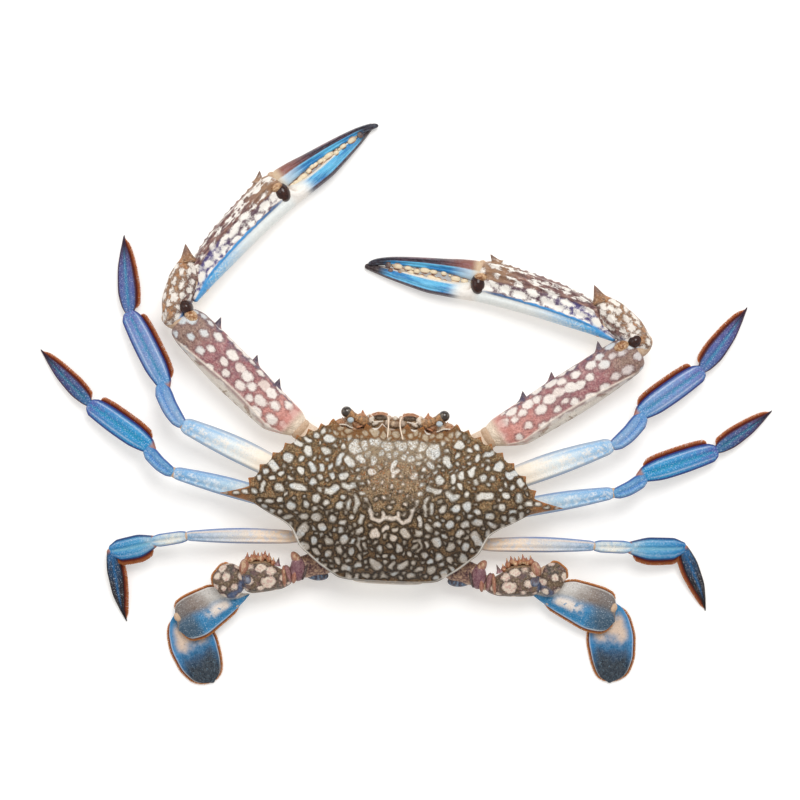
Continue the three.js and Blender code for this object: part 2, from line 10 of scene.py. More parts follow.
import bmesh
import bpy
import numpy as np
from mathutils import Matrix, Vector

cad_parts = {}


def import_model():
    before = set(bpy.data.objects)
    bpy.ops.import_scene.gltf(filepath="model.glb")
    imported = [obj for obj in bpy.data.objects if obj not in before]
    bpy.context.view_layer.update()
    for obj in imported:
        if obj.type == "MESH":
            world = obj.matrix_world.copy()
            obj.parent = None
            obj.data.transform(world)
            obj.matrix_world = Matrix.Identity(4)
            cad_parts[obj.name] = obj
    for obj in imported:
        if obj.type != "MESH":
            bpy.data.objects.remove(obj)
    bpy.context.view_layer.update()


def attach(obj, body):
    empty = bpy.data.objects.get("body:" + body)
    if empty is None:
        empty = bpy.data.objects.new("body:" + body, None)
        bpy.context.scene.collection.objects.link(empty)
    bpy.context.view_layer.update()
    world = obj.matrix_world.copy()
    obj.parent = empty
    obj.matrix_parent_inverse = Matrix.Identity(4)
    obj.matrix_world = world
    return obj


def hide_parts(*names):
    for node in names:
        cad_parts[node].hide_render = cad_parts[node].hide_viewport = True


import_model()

MM = 0.001
WELD = 2e-7
FULL = 2 * np.pi
NO_SPOT = 9.0
FAR_GAP = 20
SPOT_TRIES = 2500
TUFT_PATCH = 0.003
HAIR_FOOT, HAIR_WIDTH, HAIR_DROOP = 0.25, 0.12, 0.12
HAIR_ROOT_DEPTH, HAIR_LAYER = 0.6, 0.3
EDGE_STEPS = 500

# ---- The body's sizes ----

MIDDLE_Y = -3
CROWN = 37
RIM = 22.3
FRONT_LIFT, REAR_DROP, EDGE_REACH = 3, 1.2, 36
DOME_POWER = 2.5
SKIRT_HEIGHT, SKIRT_HALF_WIDTH, SKIRT_HALF_LENGTH = 14.6, 33, 25
SKIRT_MIDDLE_Y, SKIRT_SQUARENESS = -4.5, 2.4

# The right half of the shell's smooth margin, from the middle of the front to the middle of the back.
MARGIN = [
    [0, 31.4], [5.5, 31.6], [11.5, 31], [15, 30.2], [19, 30.3], [23, 31.2], [27.4, 32.3], [33.6, 29.6],
    [40.2, 26], [46.6, 21.7], [52, 17.1], [57.2, 11.8], [61, 6.6], [63, 2], [61, -3], [53.8, -7.7],
    [47.5, -11], [43.4, -14.4], [39.7, -21.4], [36, -24.8], [30.5, -29.3], [24.4, -33.2], [20.5, -35],
    [12.3, -35.8], [0, -36],
]
# The side teeth lie on an arc: its centre, its radius and the directions of the tips.
ARC_CENTRE, TOOTH_TIP = (0.7, -37.9), 77.6
TOOTH_ANGLES = [70.1, 65.7, 61.2, 56.9, 52.3, 47.2, 41.4, 35.6]
SPINE_TIP = (76.1, 0)
# The front teeth's tips, x and y, and their half widths.
FRONT_TEETH = [[5.6, 34, 2.9], [12.5, 33.4, 3.1], [21.9, 31.8, 1.9]]
# How far each kind of tooth reaches ahead and behind its tip, and how sharply it narrows.
FRONT_TOOTH_POWER = 1.3
SIDE_TOOTH, SPINE_TOOTH = (1.5, 4.6, 1.5), (5.8, 4.4, 1.7)

EYE_ROOT, EYE_HEADING, EYE_LENGTH, EYE_RISE = (12.3, 33.5, 23), 27.5, 12.8, 1.6
LEDGE_Y, LEDGE_HEIGHT, LEDGE_HALF = 34.4, 17.6, 23

# ---- Limb shapes ----
# A row is [place along the segment, rear edge, front edge, thickness].

COXA = [[-0.1, -3.6, 3.6, 6.6], [0.4, -4.8, 4.8, 8.8], [1, -3.4, 3.4, 6.4]]
CLAW_MERUS = [
    [0, -4.4, 4.4, 8], [0.08, -7.8, 6.3, 11], [0.2, -11.3, 6.8, 12.4], [0.5, -11.6, 8.2, 13.2],
    [0.92, -9.4, 9, 13], [1, -8, 7.6, 11], [1.04, -5, 3.6, 7],
]
CLAW_CARPUS = [
    [-0.2, -8.6, -4, 7], [0.08, -10.8, -0.6, 12.4], [0.45, -12.5, 1, 13.8], [0.9, -12.3, 1.4, 13.8],
    [1.22, -10.6, 0, 12], [1.44, -8.8, -4, 7],
]
CLAW_PALM = [
    [-0.14, 4, 6.8, 4], [-0.02, -0.6, 6.8, 8], [0.1, -7, 6.9, 11.6], [0.25, -9.1, 7.2, 12.8],
    [0.5, -10.5, 7.7, 13.4], [0.9, -10.4, 9.3, 12.4], [1, -8.6, 10, 11.8], [1.05, 1.6, 10.5, 10.2],
    [1.2, 4.6, 11.9, 8.4], [1.4, 6.2, 13.2, 7], [1.65, 7.6, 12.9, 5], [1.88, 9.4, 11.9, 2.2],
]
CLAW_FINGER = [
    [-0.05, -6, -1, 5.4], [0.04, -8.4, 1, 8.8], [0.15, -8.2, 0.3, 8.4], [0.3, -7.4, -0.8, 7.4],
    [0.55, -6.3, -1.4, 6], [0.78, -4.9, -1.1, 4.4], [0.92, -3.2, 0, 3], [1, -1.2, 0.7, 2],
]
WALKING_MERUS = [
    [0, -3, 3, 5.4], [0.2, -4.9, 5.2, 7.2], [0.52, -5, 6.2, 7.2], [0.96, -3.6, 4, 6.4],
    [1.01, -2.2, 2.4, 4.4],
]
WALKING_CARPUS = [
    [0, -2.4, 1.6, 4.4], [0.16, -4.6, 1.8, 6.2], [0.5, -5.6, 1.8, 6.6], [0.86, -5.2, 2.4, 6],
    [1.06, -3, 1.8, 4],
]
WALKING_PROPODUS = [
    [-0.08, -0.8, 3.4, 2.4], [0.05, -2.8, 6.6, 4], [0.3, -4.6, 7.6, 4.6], [0.65, -5.1, 7.2, 4.6],
    [0.92, -4.9, 6, 4], [1.02, -2.6, 3.6, 2.6],
]
WALKING_DACTYLUS = [
    [-0.04, -1.2, 2, 2.2], [0.1, -3.7, 4.6, 3.4], [0.3, -4.8, 5.2, 3.4], [0.55, -4.3, 4.5, 3],
    [0.8, -2.5, 3, 2.3], [1, -0.4, 0.4, 1],
]
THIRD_CARPUS = [[0, -2, 1.9, 4], [0.2, -2.8, 2.7, 5.4], [0.8, -3, 2.8, 5.2], [1.06, -2, 2, 3.6]]
THIRD_PROPODUS = [
    [-0.2, -2.6, 0.6, 2.2], [0.06, -5.6, 2.9, 3.8], [0.4, -7.6, 4.7, 4.4], [0.78, -7, 4.8, 4.2],
    [1.02, -3.4, 2.6, 2.6],
]
THIRD_DACTYLUS = [
    [-0.04, -2, 1.6, 2.2], [0.1, -4.4, 3, 3.2], [0.3, -4.6, 3.9, 3.2], [0.55, -3.7, 3.8, 2.9],
    [0.82, -1.9, 2.2, 2.2], [1, -0.4, 0.4, 1],
]
SWIM_MERUS = [
    [0, -5.2, 1.6, 6.6], [0.14, -7, 2.6, 8], [0.3, -7.8, 5, 9.4], [0.5, -7.8, 8.4, 10.4],
    [0.85, -7.4, 9, 10], [1.04, -5, 7, 7],
]
SWIM_CARPUS = [
    [-0.32, 1.4, 6.4, 4], [-0.1, -1.4, 9.2, 6.6], [0.3, -3.4, 11.1, 7.8], [0.8, -3.8, 11, 7.4],
    [1.15, -1.8, 8.6, 6], [1.34, 0.8, 5.2, 4],
]
SWIM_PROPODUS = [
    [-0.3, -5.6, -3, 1.8], [-0.1, -7.6, -0.4, 3], [0.12, -9.6, 5, 3.8], [0.35, -11.2, 7.6, 3.8],
    [0.75, -13.3, 8, 3.2], [0.94, -12.6, 7.2, 3], [1.04, -11, 4.6, 2.6], [1.13, -8.6, -2, 2],
]
PADDLE = [
    [-0.1, -3, 2.4, 1.6], [0.04, -7.5, 7.2, 2.2], [0.2, -9.8, 9.9, 2.3], [0.42, -10.6, 11.4, 2.3],
    [0.62, -9.6, 11.2, 2.2], [0.82, -7.6, 9.2, 2], [0.93, -5.4, 6.2, 1.8], [1, -3, 2.4, 1.6],
]

# ---- Pose ----
# Each limb's root, then for each segment its length seen from above, its heading in degrees, the
# height of its far joint and, where it lies under the next one, the height of its near joint.

ROOTS = {
    "cheliped": (25, 15, 8.6),
    "leg1": (27, 1.5, 8.2),
    "leg2": (28, -8, 8.2),
    "leg3": (27, -17.5, 8.2),
    "swimming_leg": (25, -28.5, 9.6),
}
POSE = {
    "right": {
        "cheliped": [
            [22.4, 40.7, 11], [74.8, 32.9, 12.4], [19.5, 137.7, 11], [57.8, 163.4, 5.7], [50.6, 174.3, 2.3],
        ],
        "leg1": [
            [11.5, 17.7, 9.2], [62.8, 21.9, 15.2], [19, 46.9, 11.5], [34.3, 39.4, 5], [34.9, 55.6, 0.45],
        ],
        "leg2": [
            [11.2, 10.3, 9.2], [60.2, 12.9, 15.2], [15.7, 29.3, 12], [35, 22.5, 5], [31.1, 36.8, 0.45],
        ],
        "leg3": [[10, -5.7, 9.2], [53.9, 2.2, 14], [16.3, 0.4, 11], [24.6, 0, 5.4], [29.4, -67.6, 0.45]],
        "swimming_leg": [
            [18.6, -14, 11.6], [24.3, 0.5, 11.8], [7.5, -35.2, 11.6], [27.8, -14.8, 4.8, 6.8],
            [34.1, -87.5, 1.1, 1.1],
        ],
    },
    "left": {
        "cheliped": [
            [22.4, 40.7, 11], [70.3, 40.1, 12.4], [19.4, 103.1, 11], [55.9, 129.7, 5.7], [52.1, 144.1, 2.3],
        ],
        "leg1": [
            [11.5, 17.7, 9.2], [60.6, 23.4, 15.2], [19.8, 58.4, 11.5], [36.1, 62.3, 5], [34.9, 82.4, 0.45],
        ],
        "leg2": [
            [11.2, 10.3, 9.2], [59.3, 13.3, 15.2], [15.9, 39.4, 12], [33.2, 34.5, 5], [33.3, 44.1, 0.45],
        ],
        "leg3": [
            [10, -5.7, 9.2], [53.2, -1.8, 14], [15.1, -11.5, 11], [20.3, -17.5, 5.4], [31.5, -104.3, 0.45],
        ],
        "swimming_leg": [
            [18.6, -14, 11.6], [22.1, -12.8, 11.8], [9, -51.7, 11.6], [25.1, -28.5, 4.8, 6.8],
            [33.4, -118.3, 1.1, 1.1],
        ],
    },
}
SIDES = {"left": -1, "right": 1}

# ---- Numbers along curves ----


def smooth(low, high, value):
    share = np.clip((value - low) / (high - low), 0, 1)
    return share * share * (3 - 2 * share)


def between(value, low, full, ease, high):
    """Rises from low to full and falls again from ease to high."""
    return smooth(low, full, value) * smooth(high, ease, value)


def hump(value, middle, width):
    return np.exp(-(((value - middle) / width) ** 2))


def blend(first, second, share):
    return first * (1 - share) + second * share


def eased(share):
    return 0.5 - 0.5 * np.cos(np.pi * share)


def rounded(distance):
    """How far open a shape is at a distance of 0 to 1 from its rounded end."""
    return np.sqrt(np.clip(1 - (1 - np.minimum(distance, 1)) ** 2, 0, 1))


def unit(vectors):
    return vectors / np.linalg.norm(vectors, axis=1)[:, None]


def cubic(values, slope, row, t, reach=1):
    """Values between each row and the next, on a curve with the given slopes."""
    near = values[row] * (2 * t**3 - 3 * t**2 + 1) + slope[row] * reach * (t**3 - 2 * t**2 + t)
    far = values[row + 1] * (3 * t**2 - 2 * t**3) + slope[row + 1] * reach * (t**3 - t**2)
    return near + far


def along_rows(rows, place):
    """The rows' numbers at each place, on curves that never swing past the rows."""
    rows = np.array(rows, float)
    knots, values = rows[:, 0], rows[:, 1:]
    step = np.diff(knots)[:, None]
    rate = np.diff(values, axis=0) / step
    slope = np.zeros_like(values)
    same_way = rate[:-1] * rate[1:] > 0
    total = np.where(same_way, rate[:-1] + rate[1:], 1)
    slope[1:-1] = np.where(same_way, 2 * rate[:-1] * rate[1:] / total, 0)
    slope[0], slope[-1] = rate[0], rate[-1]
    row = np.clip(np.searchsorted(knots, place, side="right") - 1, 0, len(knots) - 2)
    t = ((place - knots[row]) / step[row, 0])[:, None]
    return cubic(values, slope, row, t, step[row]).T


def along_path(points, place):
    """Points at shares 0 to 1 of a smooth path through the given points."""
    points = np.array(points, float)
    count = len(points) - 1
    knots = np.clip(place * count, 0, count)
    row = np.clip(knots.astype(int), 0, count - 1)
    return cubic(points, np.gradient(points, axis=0), row, (knots - row)[:, None])


def path_way(points, place):
    """The direction of the same path."""
    ahead, behind = np.clip(place + 0.01, 0, 1), np.clip(place - 0.01, 0, 1)
    return unit(along_path(points, ahead) - along_path(points, behind))


def line_distance(x, y, points):
    """How far each place is from a broken line."""
    nearest = np.full(np.shape(x), 1e9)
    for (ax, ay), (bx, by) in zip(points, points[1:]):
        dx, dy = bx - ax, by - ay
        share = np.clip(((x - ax) * dx + (y - ay) * dy) / (dx * dx + dy * dy), 0, 1)
        nearest = np.minimum(nearest, np.hypot(x - ax - share * dx, y - ay - share * dy))
    return nearest


def ripple(x, y, size, seed):
    """A gentle unevenness between about -1 and 1 with waves of roughly the given size."""
    total = np.zeros(np.shape(x))
    for turn in range(4):
        angle = seed * 1.7 + turn * 2.4
        wave = FULL / (size * (1 + 0.37 * turn))
        total += np.sin(wave * (x * np.cos(angle) + y * np.sin(angle)) + seed * 3.1 + turn)
    return total / 2.6


# ---- Making meshes ----


def to_mesh(bm, name):
    mesh = bpy.data.meshes.new(name)
    bm.to_mesh(mesh)
    bm.free()
    return mesh


def new_object(name, data):
    made = bpy.data.objects.new(name, data)
    bpy.context.scene.collection.objects.link(made)
    return made


def grid_mesh(across, down, shape):
    """A grid whose corners shape() moves; shape gives points and named values for each corner."""
    bm = bmesh.new()
    bmesh.ops.create_grid(bm, x_segments=across, y_segments=down, size=0.5)
    mesh = to_mesh(bm, "grid")
    corners = np.empty(len(mesh.vertices) * 3)
    mesh.vertices.foreach_get("co", corners)
    points, values = shape(*(corners.reshape(-1, 3)[:, :2].T + 0.5))
    mesh.vertices.foreach_set("co", (points * MM).ravel())
    for name, numbers in values.items():
        write_value(mesh, name, numbers)
    return mesh


def write_value(mesh, name, numbers):
    layer = mesh.attributes.get(name) or mesh.attributes.new(name, "FLOAT_VECTOR", "POINT")
    layer.data.foreach_set("vector", np.asarray(numbers, np.float32).ravel())


def read_value(mesh, name):
    numbers = np.empty(len(mesh.vertices) * 3, np.float32)
    if name == "co":
        mesh.vertices.foreach_get("co", numbers)
        return numbers.reshape(-1, 3) / MM
    mesh.attributes[name].data.foreach_get("vector", numbers)
    return numbers.reshape(-1, 3)


def stack(*columns, size=0):
    size = max(size, *(np.size(column) for column in columns))
    return np.column_stack([np.broadcast_to(column, size) for column in columns])


def marked(points, place, flat, mark=(0, 0, 0), spot=(NO_SPOT, 0, 0)):
    """Points with what the materials read: the place along, across and up a segment; millimetres;
    tip, bite and line marks; and the distance to a spot, its random number and the gap beyond it."""
    values = {"place": place, "flat": flat, "spot": spot, "mark": mark}
    return points, {name: stack(*columns, size=len(points)) for name, columns in values.items()}


def piece(name, meshes, paint, slot, *nodes, closed=True):
    """Joins the meshes into one object, which rides on the body and stands for the nodes."""
    bm = bmesh.new()
    for mesh in meshes:
        bm.from_mesh(mesh)
        bpy.data.meshes.remove(mesh)
    if closed:
        bmesh.ops.remove_doubles(bm, verts=bm.verts, dist=WELD)
        bmesh.ops.recalc_face_normals(bm, faces=bm.faces)
    whole = to_mesh(bm, name)
    whole.shade_smooth()
    whole.materials.append(PAINTS[paint])
    made = new_object(name, whole)
    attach(made, "root")
    if nodes:
        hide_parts(*nodes)


def hard_part(node, meshes, paint, slot):
    """A shell piece, which stands for the node that it is named after."""
    piece(node + "_shell", meshes, paint, slot, node)


# ---- Frames ----

Frame = namedtuple("Frame", "origin axes length side")
BODY = Frame(np.zeros(3), np.eye(3), 1.0, 1)


def frame_between(start, end, side):
    start, end = np.array(start, float), np.array(end, float)
    length = np.linalg.norm(end - start)
    forward = (end - start) / length
    across = np.array([-forward[1], forward[0], 0])
    across /= np.linalg.norm(across)
    return Frame(start, np.array([forward, across, np.cross(forward, across)]), length, side)


def world(where, x, y, z):
    """Points in the body's frame from places in a segment's own frame."""
    return where.origin + stack(x, where.side * y, z) @ where.axes


def limb_frames(limb, side_name):
    side = SIDES[side_name]
    x, y, z = ROOTS[limb]
    joint = np.array([side * x, y, z], float)
    frames = []
    for length, heading, height, *near in POSE[side_name][limb]:
        start = np.array([joint[0], joint[1], near[0] if near else joint[2]])
        turn = radians(heading)
        joint = np.array([start[0] + side * length * np.cos(turn), start[1] + length * np.sin(turn), height])
        frames.append(frame_between(start, joint, side))
    return frames


# ---- Parts of a limb ----


def add_spots(mesh, spacing, size, stretch=1.0, seed=1, placed=()):
    """Scatters spots over a mesh. Stores the distance to the nearest spot's edge, that spot's own
    random number, and how much farther off the next spot is."""
    points = read_value(mesh, "flat").astype(float)
    dice = np.random.default_rng(seed)
    centres, sizes = [np.array(p[:3], float) for p in placed], [p[3] for p in placed]
    for candidate in points[dice.permutation(len(points))[:SPOT_TRIES]]:
        room = spacing * dice.uniform(0.85, 1.25)
        if all(np.sum((candidate - other) ** 2) > room * room for other in centres):
            centres.append(candidate)
            sizes.append(size * dice.uniform(0.65, 1.25))
    nearest, second, chance = np.full((3, len(points)), 1e9)
    squeeze = 1 - 1 / stretch**2
    for centre, radius in zip(centres, sizes):
        offset = points - centre
        edge = np.sqrt(np.maximum(np.sum(offset**2, axis=1) - squeeze * offset[:, 0] ** 2, 0)) - radius
        closer = edge < nearest
        second = np.where(closer, nearest, np.minimum(second, edge))
        nearest = np.where(closer, edge, nearest)
        chance = np.where(closer, dice.uniform(), chance)
    write_value(mesh, "spot", stack(nearest, chance, np.minimum(second - nearest, FAR_GAP)))
    return mesh


def oval(turn, power):
    c, s = np.cos(turn), np.sin(turn)
    return np.sign(c) * np.abs(c) ** (2 / power), np.sign(s) * np.abs(s) ** (2 / power)


def outline(where, rows, width, x, cap):
    """The middle, half width and thickness of a segment at x, and how far its rounded ends close it."""
    rear, front, thickness = along_rows(rows, x)
    close = rounded(np.minimum(x - rows[0][0], rows[-1][0] - x) * where.length / cap)
    return (front + rear) * width / 2, (front - rear) * width / 2 * close, thickness, close


def bare_share(half, bare):
    """How much of the wanted bare edge there is room for where a segment narrows."""
    return np.clip(0.85 * half / (bare + 1e-6), 0, 1)


def shell(where, rows, relief, width=1.0, bare=(0, 0), cap=1.4, rings=64, sides=48, power=2.4, grow=0.0):
    """A limb segment's hard shell. relief gives its rise, line marks, bite marks and sideways push;
    bare is the width that its hair takes at the rear and the front, and grow is how far its ends
    reach into its neighbours."""
    first, last = rows[0][0], rows[-1][0]

    def shape(u, v):
        # The rings lie closer together near the ends.
        x = first + (last - first) * (0.35 * u + 0.65 * eased(u))
        middle, half, thickness, close = outline(where, rows, width, x, cap)
        room = bare_share(half, bare[0] + bare[1])
        middle = middle + (bare[0] - bare[1]) / 2 * room
        half = half - (bare[0] + bare[1]) / 2 * room
        across, up = oval(v * FULL, power)
        rise, line, bite, push = relief(x, across, up)
        y = middle + half * across + push * close
        z = thickness * np.sqrt(width) / 2 * close * up + rise * close
        long = x * where.length + grow * (smooth(0.8, 1, u) - smooth(0.2, 0, u))
        return marked(world(where, long, y, z), (x, across, up), (x * where.length, y, z), (0, bite, line))

    return grid_mesh(rings, sides, shape)


def top_only(up):
    """A relief's share at each height of a segment's round: all on top and none below."""
    return smooth(-0.15, 0.35, up)


def spike(where, base, tip, width, thickness, mark=(1, 0, 0)):
    """A pointed spine from base to tip, given in a segment's own frame, with a flared foot."""
    base, tip = np.array(base, float), np.array(tip, float)
    reach = np.linalg.norm(tip - base)
    way = (tip - base) / reach
    sidewise = np.cross([0, 0, 1], way)
    sidewise /= max(np.linalg.norm(sidewise), 1e-6)
    upward = np.cross(way, sidewise)

    def shape(u, v):
        # The last ring closes at the tip.
        taper = (1 - u) ** 0.9 * (0.82 + 0.4 * hump(u, 0, 0.25)) * np.where(u < 0.001, 0, 1)
        turn = v * FULL
        wide, high = width / 2 * taper * np.cos(turn), thickness / 2 * taper * np.sin(turn)
        local = base + np.outer(u * reach, way) + np.outer(wide, sidewise) + np.outer(high, upward)
        place = (local[:, 0] / where.length, np.sign(tip[1]), np.sin(turn))
        return marked(world(where, *local.T), place, local.T, np.outer(mark, smooth(0.15, 0.8, u)))

    return grid_mesh(12, 12, shape)


def lump(where, centre, sizes, mark=(0, 0, 0), turn=0.0, power=2.0, fine=12):
    """A rounded lump in a segment's own frame: a tooth, a knuckle or a bead."""

    def shape(u, v):
        polar = np.pi * u
        across, up = oval(v * FULL, power)
        ring = np.sin(polar)
        a = np.cos(polar) * sizes[0] / 2
        b = ring * across * sizes[1] / 2
        x = centre[0] + a * np.cos(turn) - b * np.sin(turn)
        y = centre[1] + a * np.sin(turn) + b * np.cos(turn)
        z = centre[2] + ring * up * sizes[2] / 2
        return marked(world(where, x, y, z), (x / where.length, across * ring, up * ring), (x, y, z), mark)

    return grid_mesh(fine, fine + 4, shape)


def rope(points, radii, rings, sides=10, beads=0.0, bead_length=1.0, mark=(0, 0, 0)):
    """A tube along a path in the body's frame, with ringed beads if wanted."""
    points = np.array(points, float)
    length = np.sum(np.linalg.norm(np.diff(points, axis=0), axis=1))

    def shape(u, v):
        way = path_way(points, u)
        aside = unit(np.cross(way, [0.1, 0.2, 1]))
        above = np.cross(aside, way)
        radius = (radii[0] + (radii[1] - radii[0]) * u) * rounded(np.minimum(u, 1 - u) * length / radii[1])
        radius = radius * (1 + beads * np.sin(FULL * u * length / bead_length))
        c, s = np.cos(v * FULL), np.sin(v * FULL)
        placed = along_path(points, u) + aside * (radius * c)[:, None] + above * (radius * s)[:, None]
        return marked(placed, (u, c, s), (u * length, radius * c, radius * s), mark)

    return grid_mesh(rings, sides, shape)


# ---- Hair ----


def hair_row(doublings):
    """Upright three-sided hairs, one unit high and one unit apart along X."""
    bm = bmesh.new()
    bmesh.ops.create_cone(bm, cap_ends=True, segments=3, radius1=HAIR_FOOT, radius2=HAIR_FOOT, depth=1)
    upright = [e for e in bm.edges if abs(e.verts[0].co.z - e.verts[1].co.z) > 0.5]
    bmesh.ops.subdivide_edges(bm, edges=upright, cuts=1)
    bmesh.ops.translate(bm, verts=bm.verts, vec=(0, 0, 0.5))
    for step in range(doublings):
        copied = bmesh.ops.duplicate(bm, geom=bm.verts[:] + bm.edges[:] + bm.faces[:])["geom"]
        moved = [g for g in copied if isinstance(g, bmesh.types.BMVert)]
        bmesh.ops.translate(bm, verts=moved, vec=(2**step, 0, 0))
    return to_mesh(bm, "hairs")


def hairs(doublings, root, tip, own_number, unwrap):
    """Drooping hairs from each root to its tip, with their patches on an unwrap of the segment."""
    mesh = hair_row(doublings)
    corners = read_value(mesh, "co") * MM
    which = np.round(corners[:, 0]).astype(int)
    high = corners[:, 2]
    way = tip - root
    aside = unit(np.cross(way, [0.02, 0.01, 1.0]))
    above = np.cross(aside, unit(way))
    slim = HAIR_WIDTH * (1 - 0.8 * high**1.5)[:, None] / HAIR_FOOT
    local_x, local_y = (corners[:, 0] - which)[:, None], corners[:, 1][:, None]
    points = (
        root[which]
        + way[which] * high[:, None]
        + np.outer(high**2, (0, 0, -HAIR_DROOP))
        + aside[which] * local_x * slim
        + above[which] * local_y * slim
    )
    mesh.vertices.foreach_set("co", (points * MM).ravel())
    write_value(mesh, "place", stack(high, own_number[which], 0))
    write_value(mesh, "flat", points)
    layer = mesh.uv_layers.new(name="OFBake")
    corner_of = np.empty(len(mesh.loops), int)
    mesh.loops.foreach_get("vertex_index", corner_of)
    patch = np.column_stack([corners[:, 0] - which + 0.5, high]) * TUFT_PATCH
    layer.data.foreach_set("uv", (unwrap[which] + patch)[corner_of].astype(np.float32).ravel())
    return mesh


def fringe(where, rows, edge, start, stop, reach, width=1.0, doublings=10, cap=1.4, lean=0.3, seed=1,
           lift=0.3, past=0.0):
    """Hairs that stand out from one edge of a segment. edge is 1 for the front and -1 for the rear."""
    x = start + (stop - start) * eased(np.linspace(0, 1, EDGE_STEPS))
    middle, half, _, _ = outline(where, rows, width, x, cap)
    path = np.column_stack([x * where.length, middle + edge * half])
    way = np.gradient(path, axis=0)
    way /= np.linalg.norm(way, axis=1)[:, None] + 1e-9
    walked = np.concatenate([[0], np.cumsum(np.linalg.norm(np.diff(path, axis=0), axis=1))])
    walked /= walked[-1]
    count = 2**doublings
    share = (np.arange(count) + 0.5) / count
    chance = np.random.default_rng(seed).uniform(-1, 1, (count, 4))
    at = np.clip(share + chance[:, 0] * 0.004, 0, 1)
    outer_x, outer_y, way_x, way_y, room, along = (
        np.interp(at, walked, row) for row in (*path.T, *way.T, bare_share(half, reach), x)
    )
    normal_x, normal_y = -way_y * edge, way_x * edge
    full = reach * room
    grown = full * np.minimum(smooth(0, 0.1, share), smooth(0, 0.1, 1 - share)) ** 0.5
    grown = grown * (1 + 0.08 * chance[:, 1]) + 0.15
    inner = full + HAIR_ROOT_DEPTH
    level = (np.arange(count) % 3 - 1) * HAIR_LAYER + lift * 0.2
    root = world(where, outer_x - normal_x * inner, outer_y - normal_y * inner, level)
    out = grown - full + past
    tip_x = outer_x + normal_x * out + way_x * lean * grown + 0.2 * chance[:, 2]
    tip_y = outer_y + normal_y * out + way_y * lean * grown
    tip = world(where, tip_x, tip_y, level * 0.6 + lift * chance[:, 3] * 0.5)
    unwrap = stack(0.03 + 0.94 * np.clip(along, 0, 1), 0.25 + 0.5 * (edge > 0))
    return hairs(doublings, root, tip, chance[:, 3], unwrap)


# ---- Materials ----


def hue(code):
    """A colour from its six-digit code."""
    parts = [int(code[i : i + 2], 16) / 255 for i in (0, 2, 4)]
    return tuple(p / 12.92 if p < 0.04045 else ((p + 0.055) / 1.055) ** 2.4 for p in parts) + (1,)


class Value:
    """A node's output, which sums can be written with."""

    def __init__(self, web, socket):
        self.web, self.socket = web, socket

    def __mul__(self, other):
        return self.web.maths("MULTIPLY", self, other)

    def __add__(self, other):
        return self.web.maths("ADD", self, other)

    def __sub__(self, other):
        return self.web.maths("SUBTRACT", self, other)

    def __rsub__(self, other):
        return self.web.maths("SUBTRACT", other, self)

    def size(self):
        return self.web.maths("ABSOLUTE", self)

    def least(self, other):
        return self.web.maths("MINIMUM", self, other)

    def most(self, other):
        return self.web.maths("MAXIMUM", self, other)

    def rise(self, low, high, bottom=0.0, top=1.0):
        """Goes smoothly from bottom to top as the value goes from low to high."""
        settings = {"Value": self, "From Min": low, "From Max": high, "To Min": bottom, "To Max": top}
        return Value(self.web, self.web.add("MapRange", settings, interpolation_type="SMOOTHSTEP").outputs[0])


class Web:
    """Adds nodes to a node tree. flat is the place in millimetres that its textures read."""

    def __init__(self, tree):
        self.tree = tree

    def add(self, kind, inputs=(), **settings):
        node = self.tree.nodes.new("ShaderNode" + kind)
        for key, value in settings.items():
            setattr(node, key, value)
        for key, value in dict(inputs).items():
            self.feed(node.inputs[key], value)
        return node

    def feed(self, socket, value):
        if isinstance(value, Value):
            self.tree.links.new(value.socket, socket)
        else:
            socket.default_value = hue(value) if isinstance(value, str) else value

    def maths(self, operation, *values):
        return Value(self, self.add("Math", dict(enumerate(values)), operation=operation).outputs[0])

    def mix(self, share, first, second):
        node = self.add("Mix", {0: share, 6: first, 7: second}, data_type="RGBA")
        return Value(self, node.outputs[2])

    def noise(self, scale, detail=3.0, roughness=0.6, stretch=None):
        place = self.flat
        if stretch:
            place = Value(self, self.add("Mapping", {"Vector": place, "Scale": stretch}).outputs[0])
        settings = {"Vector": place, "Scale": scale, "Detail": detail, "Roughness": roughness}
        return Value(self, self.add("TexNoise", settings).outputs["Fac"])

    def cells(self, scale):
        return Value(self, self.add("TexVoronoi", {"Vector": self.flat, "Scale": scale}).outputs["Distance"])


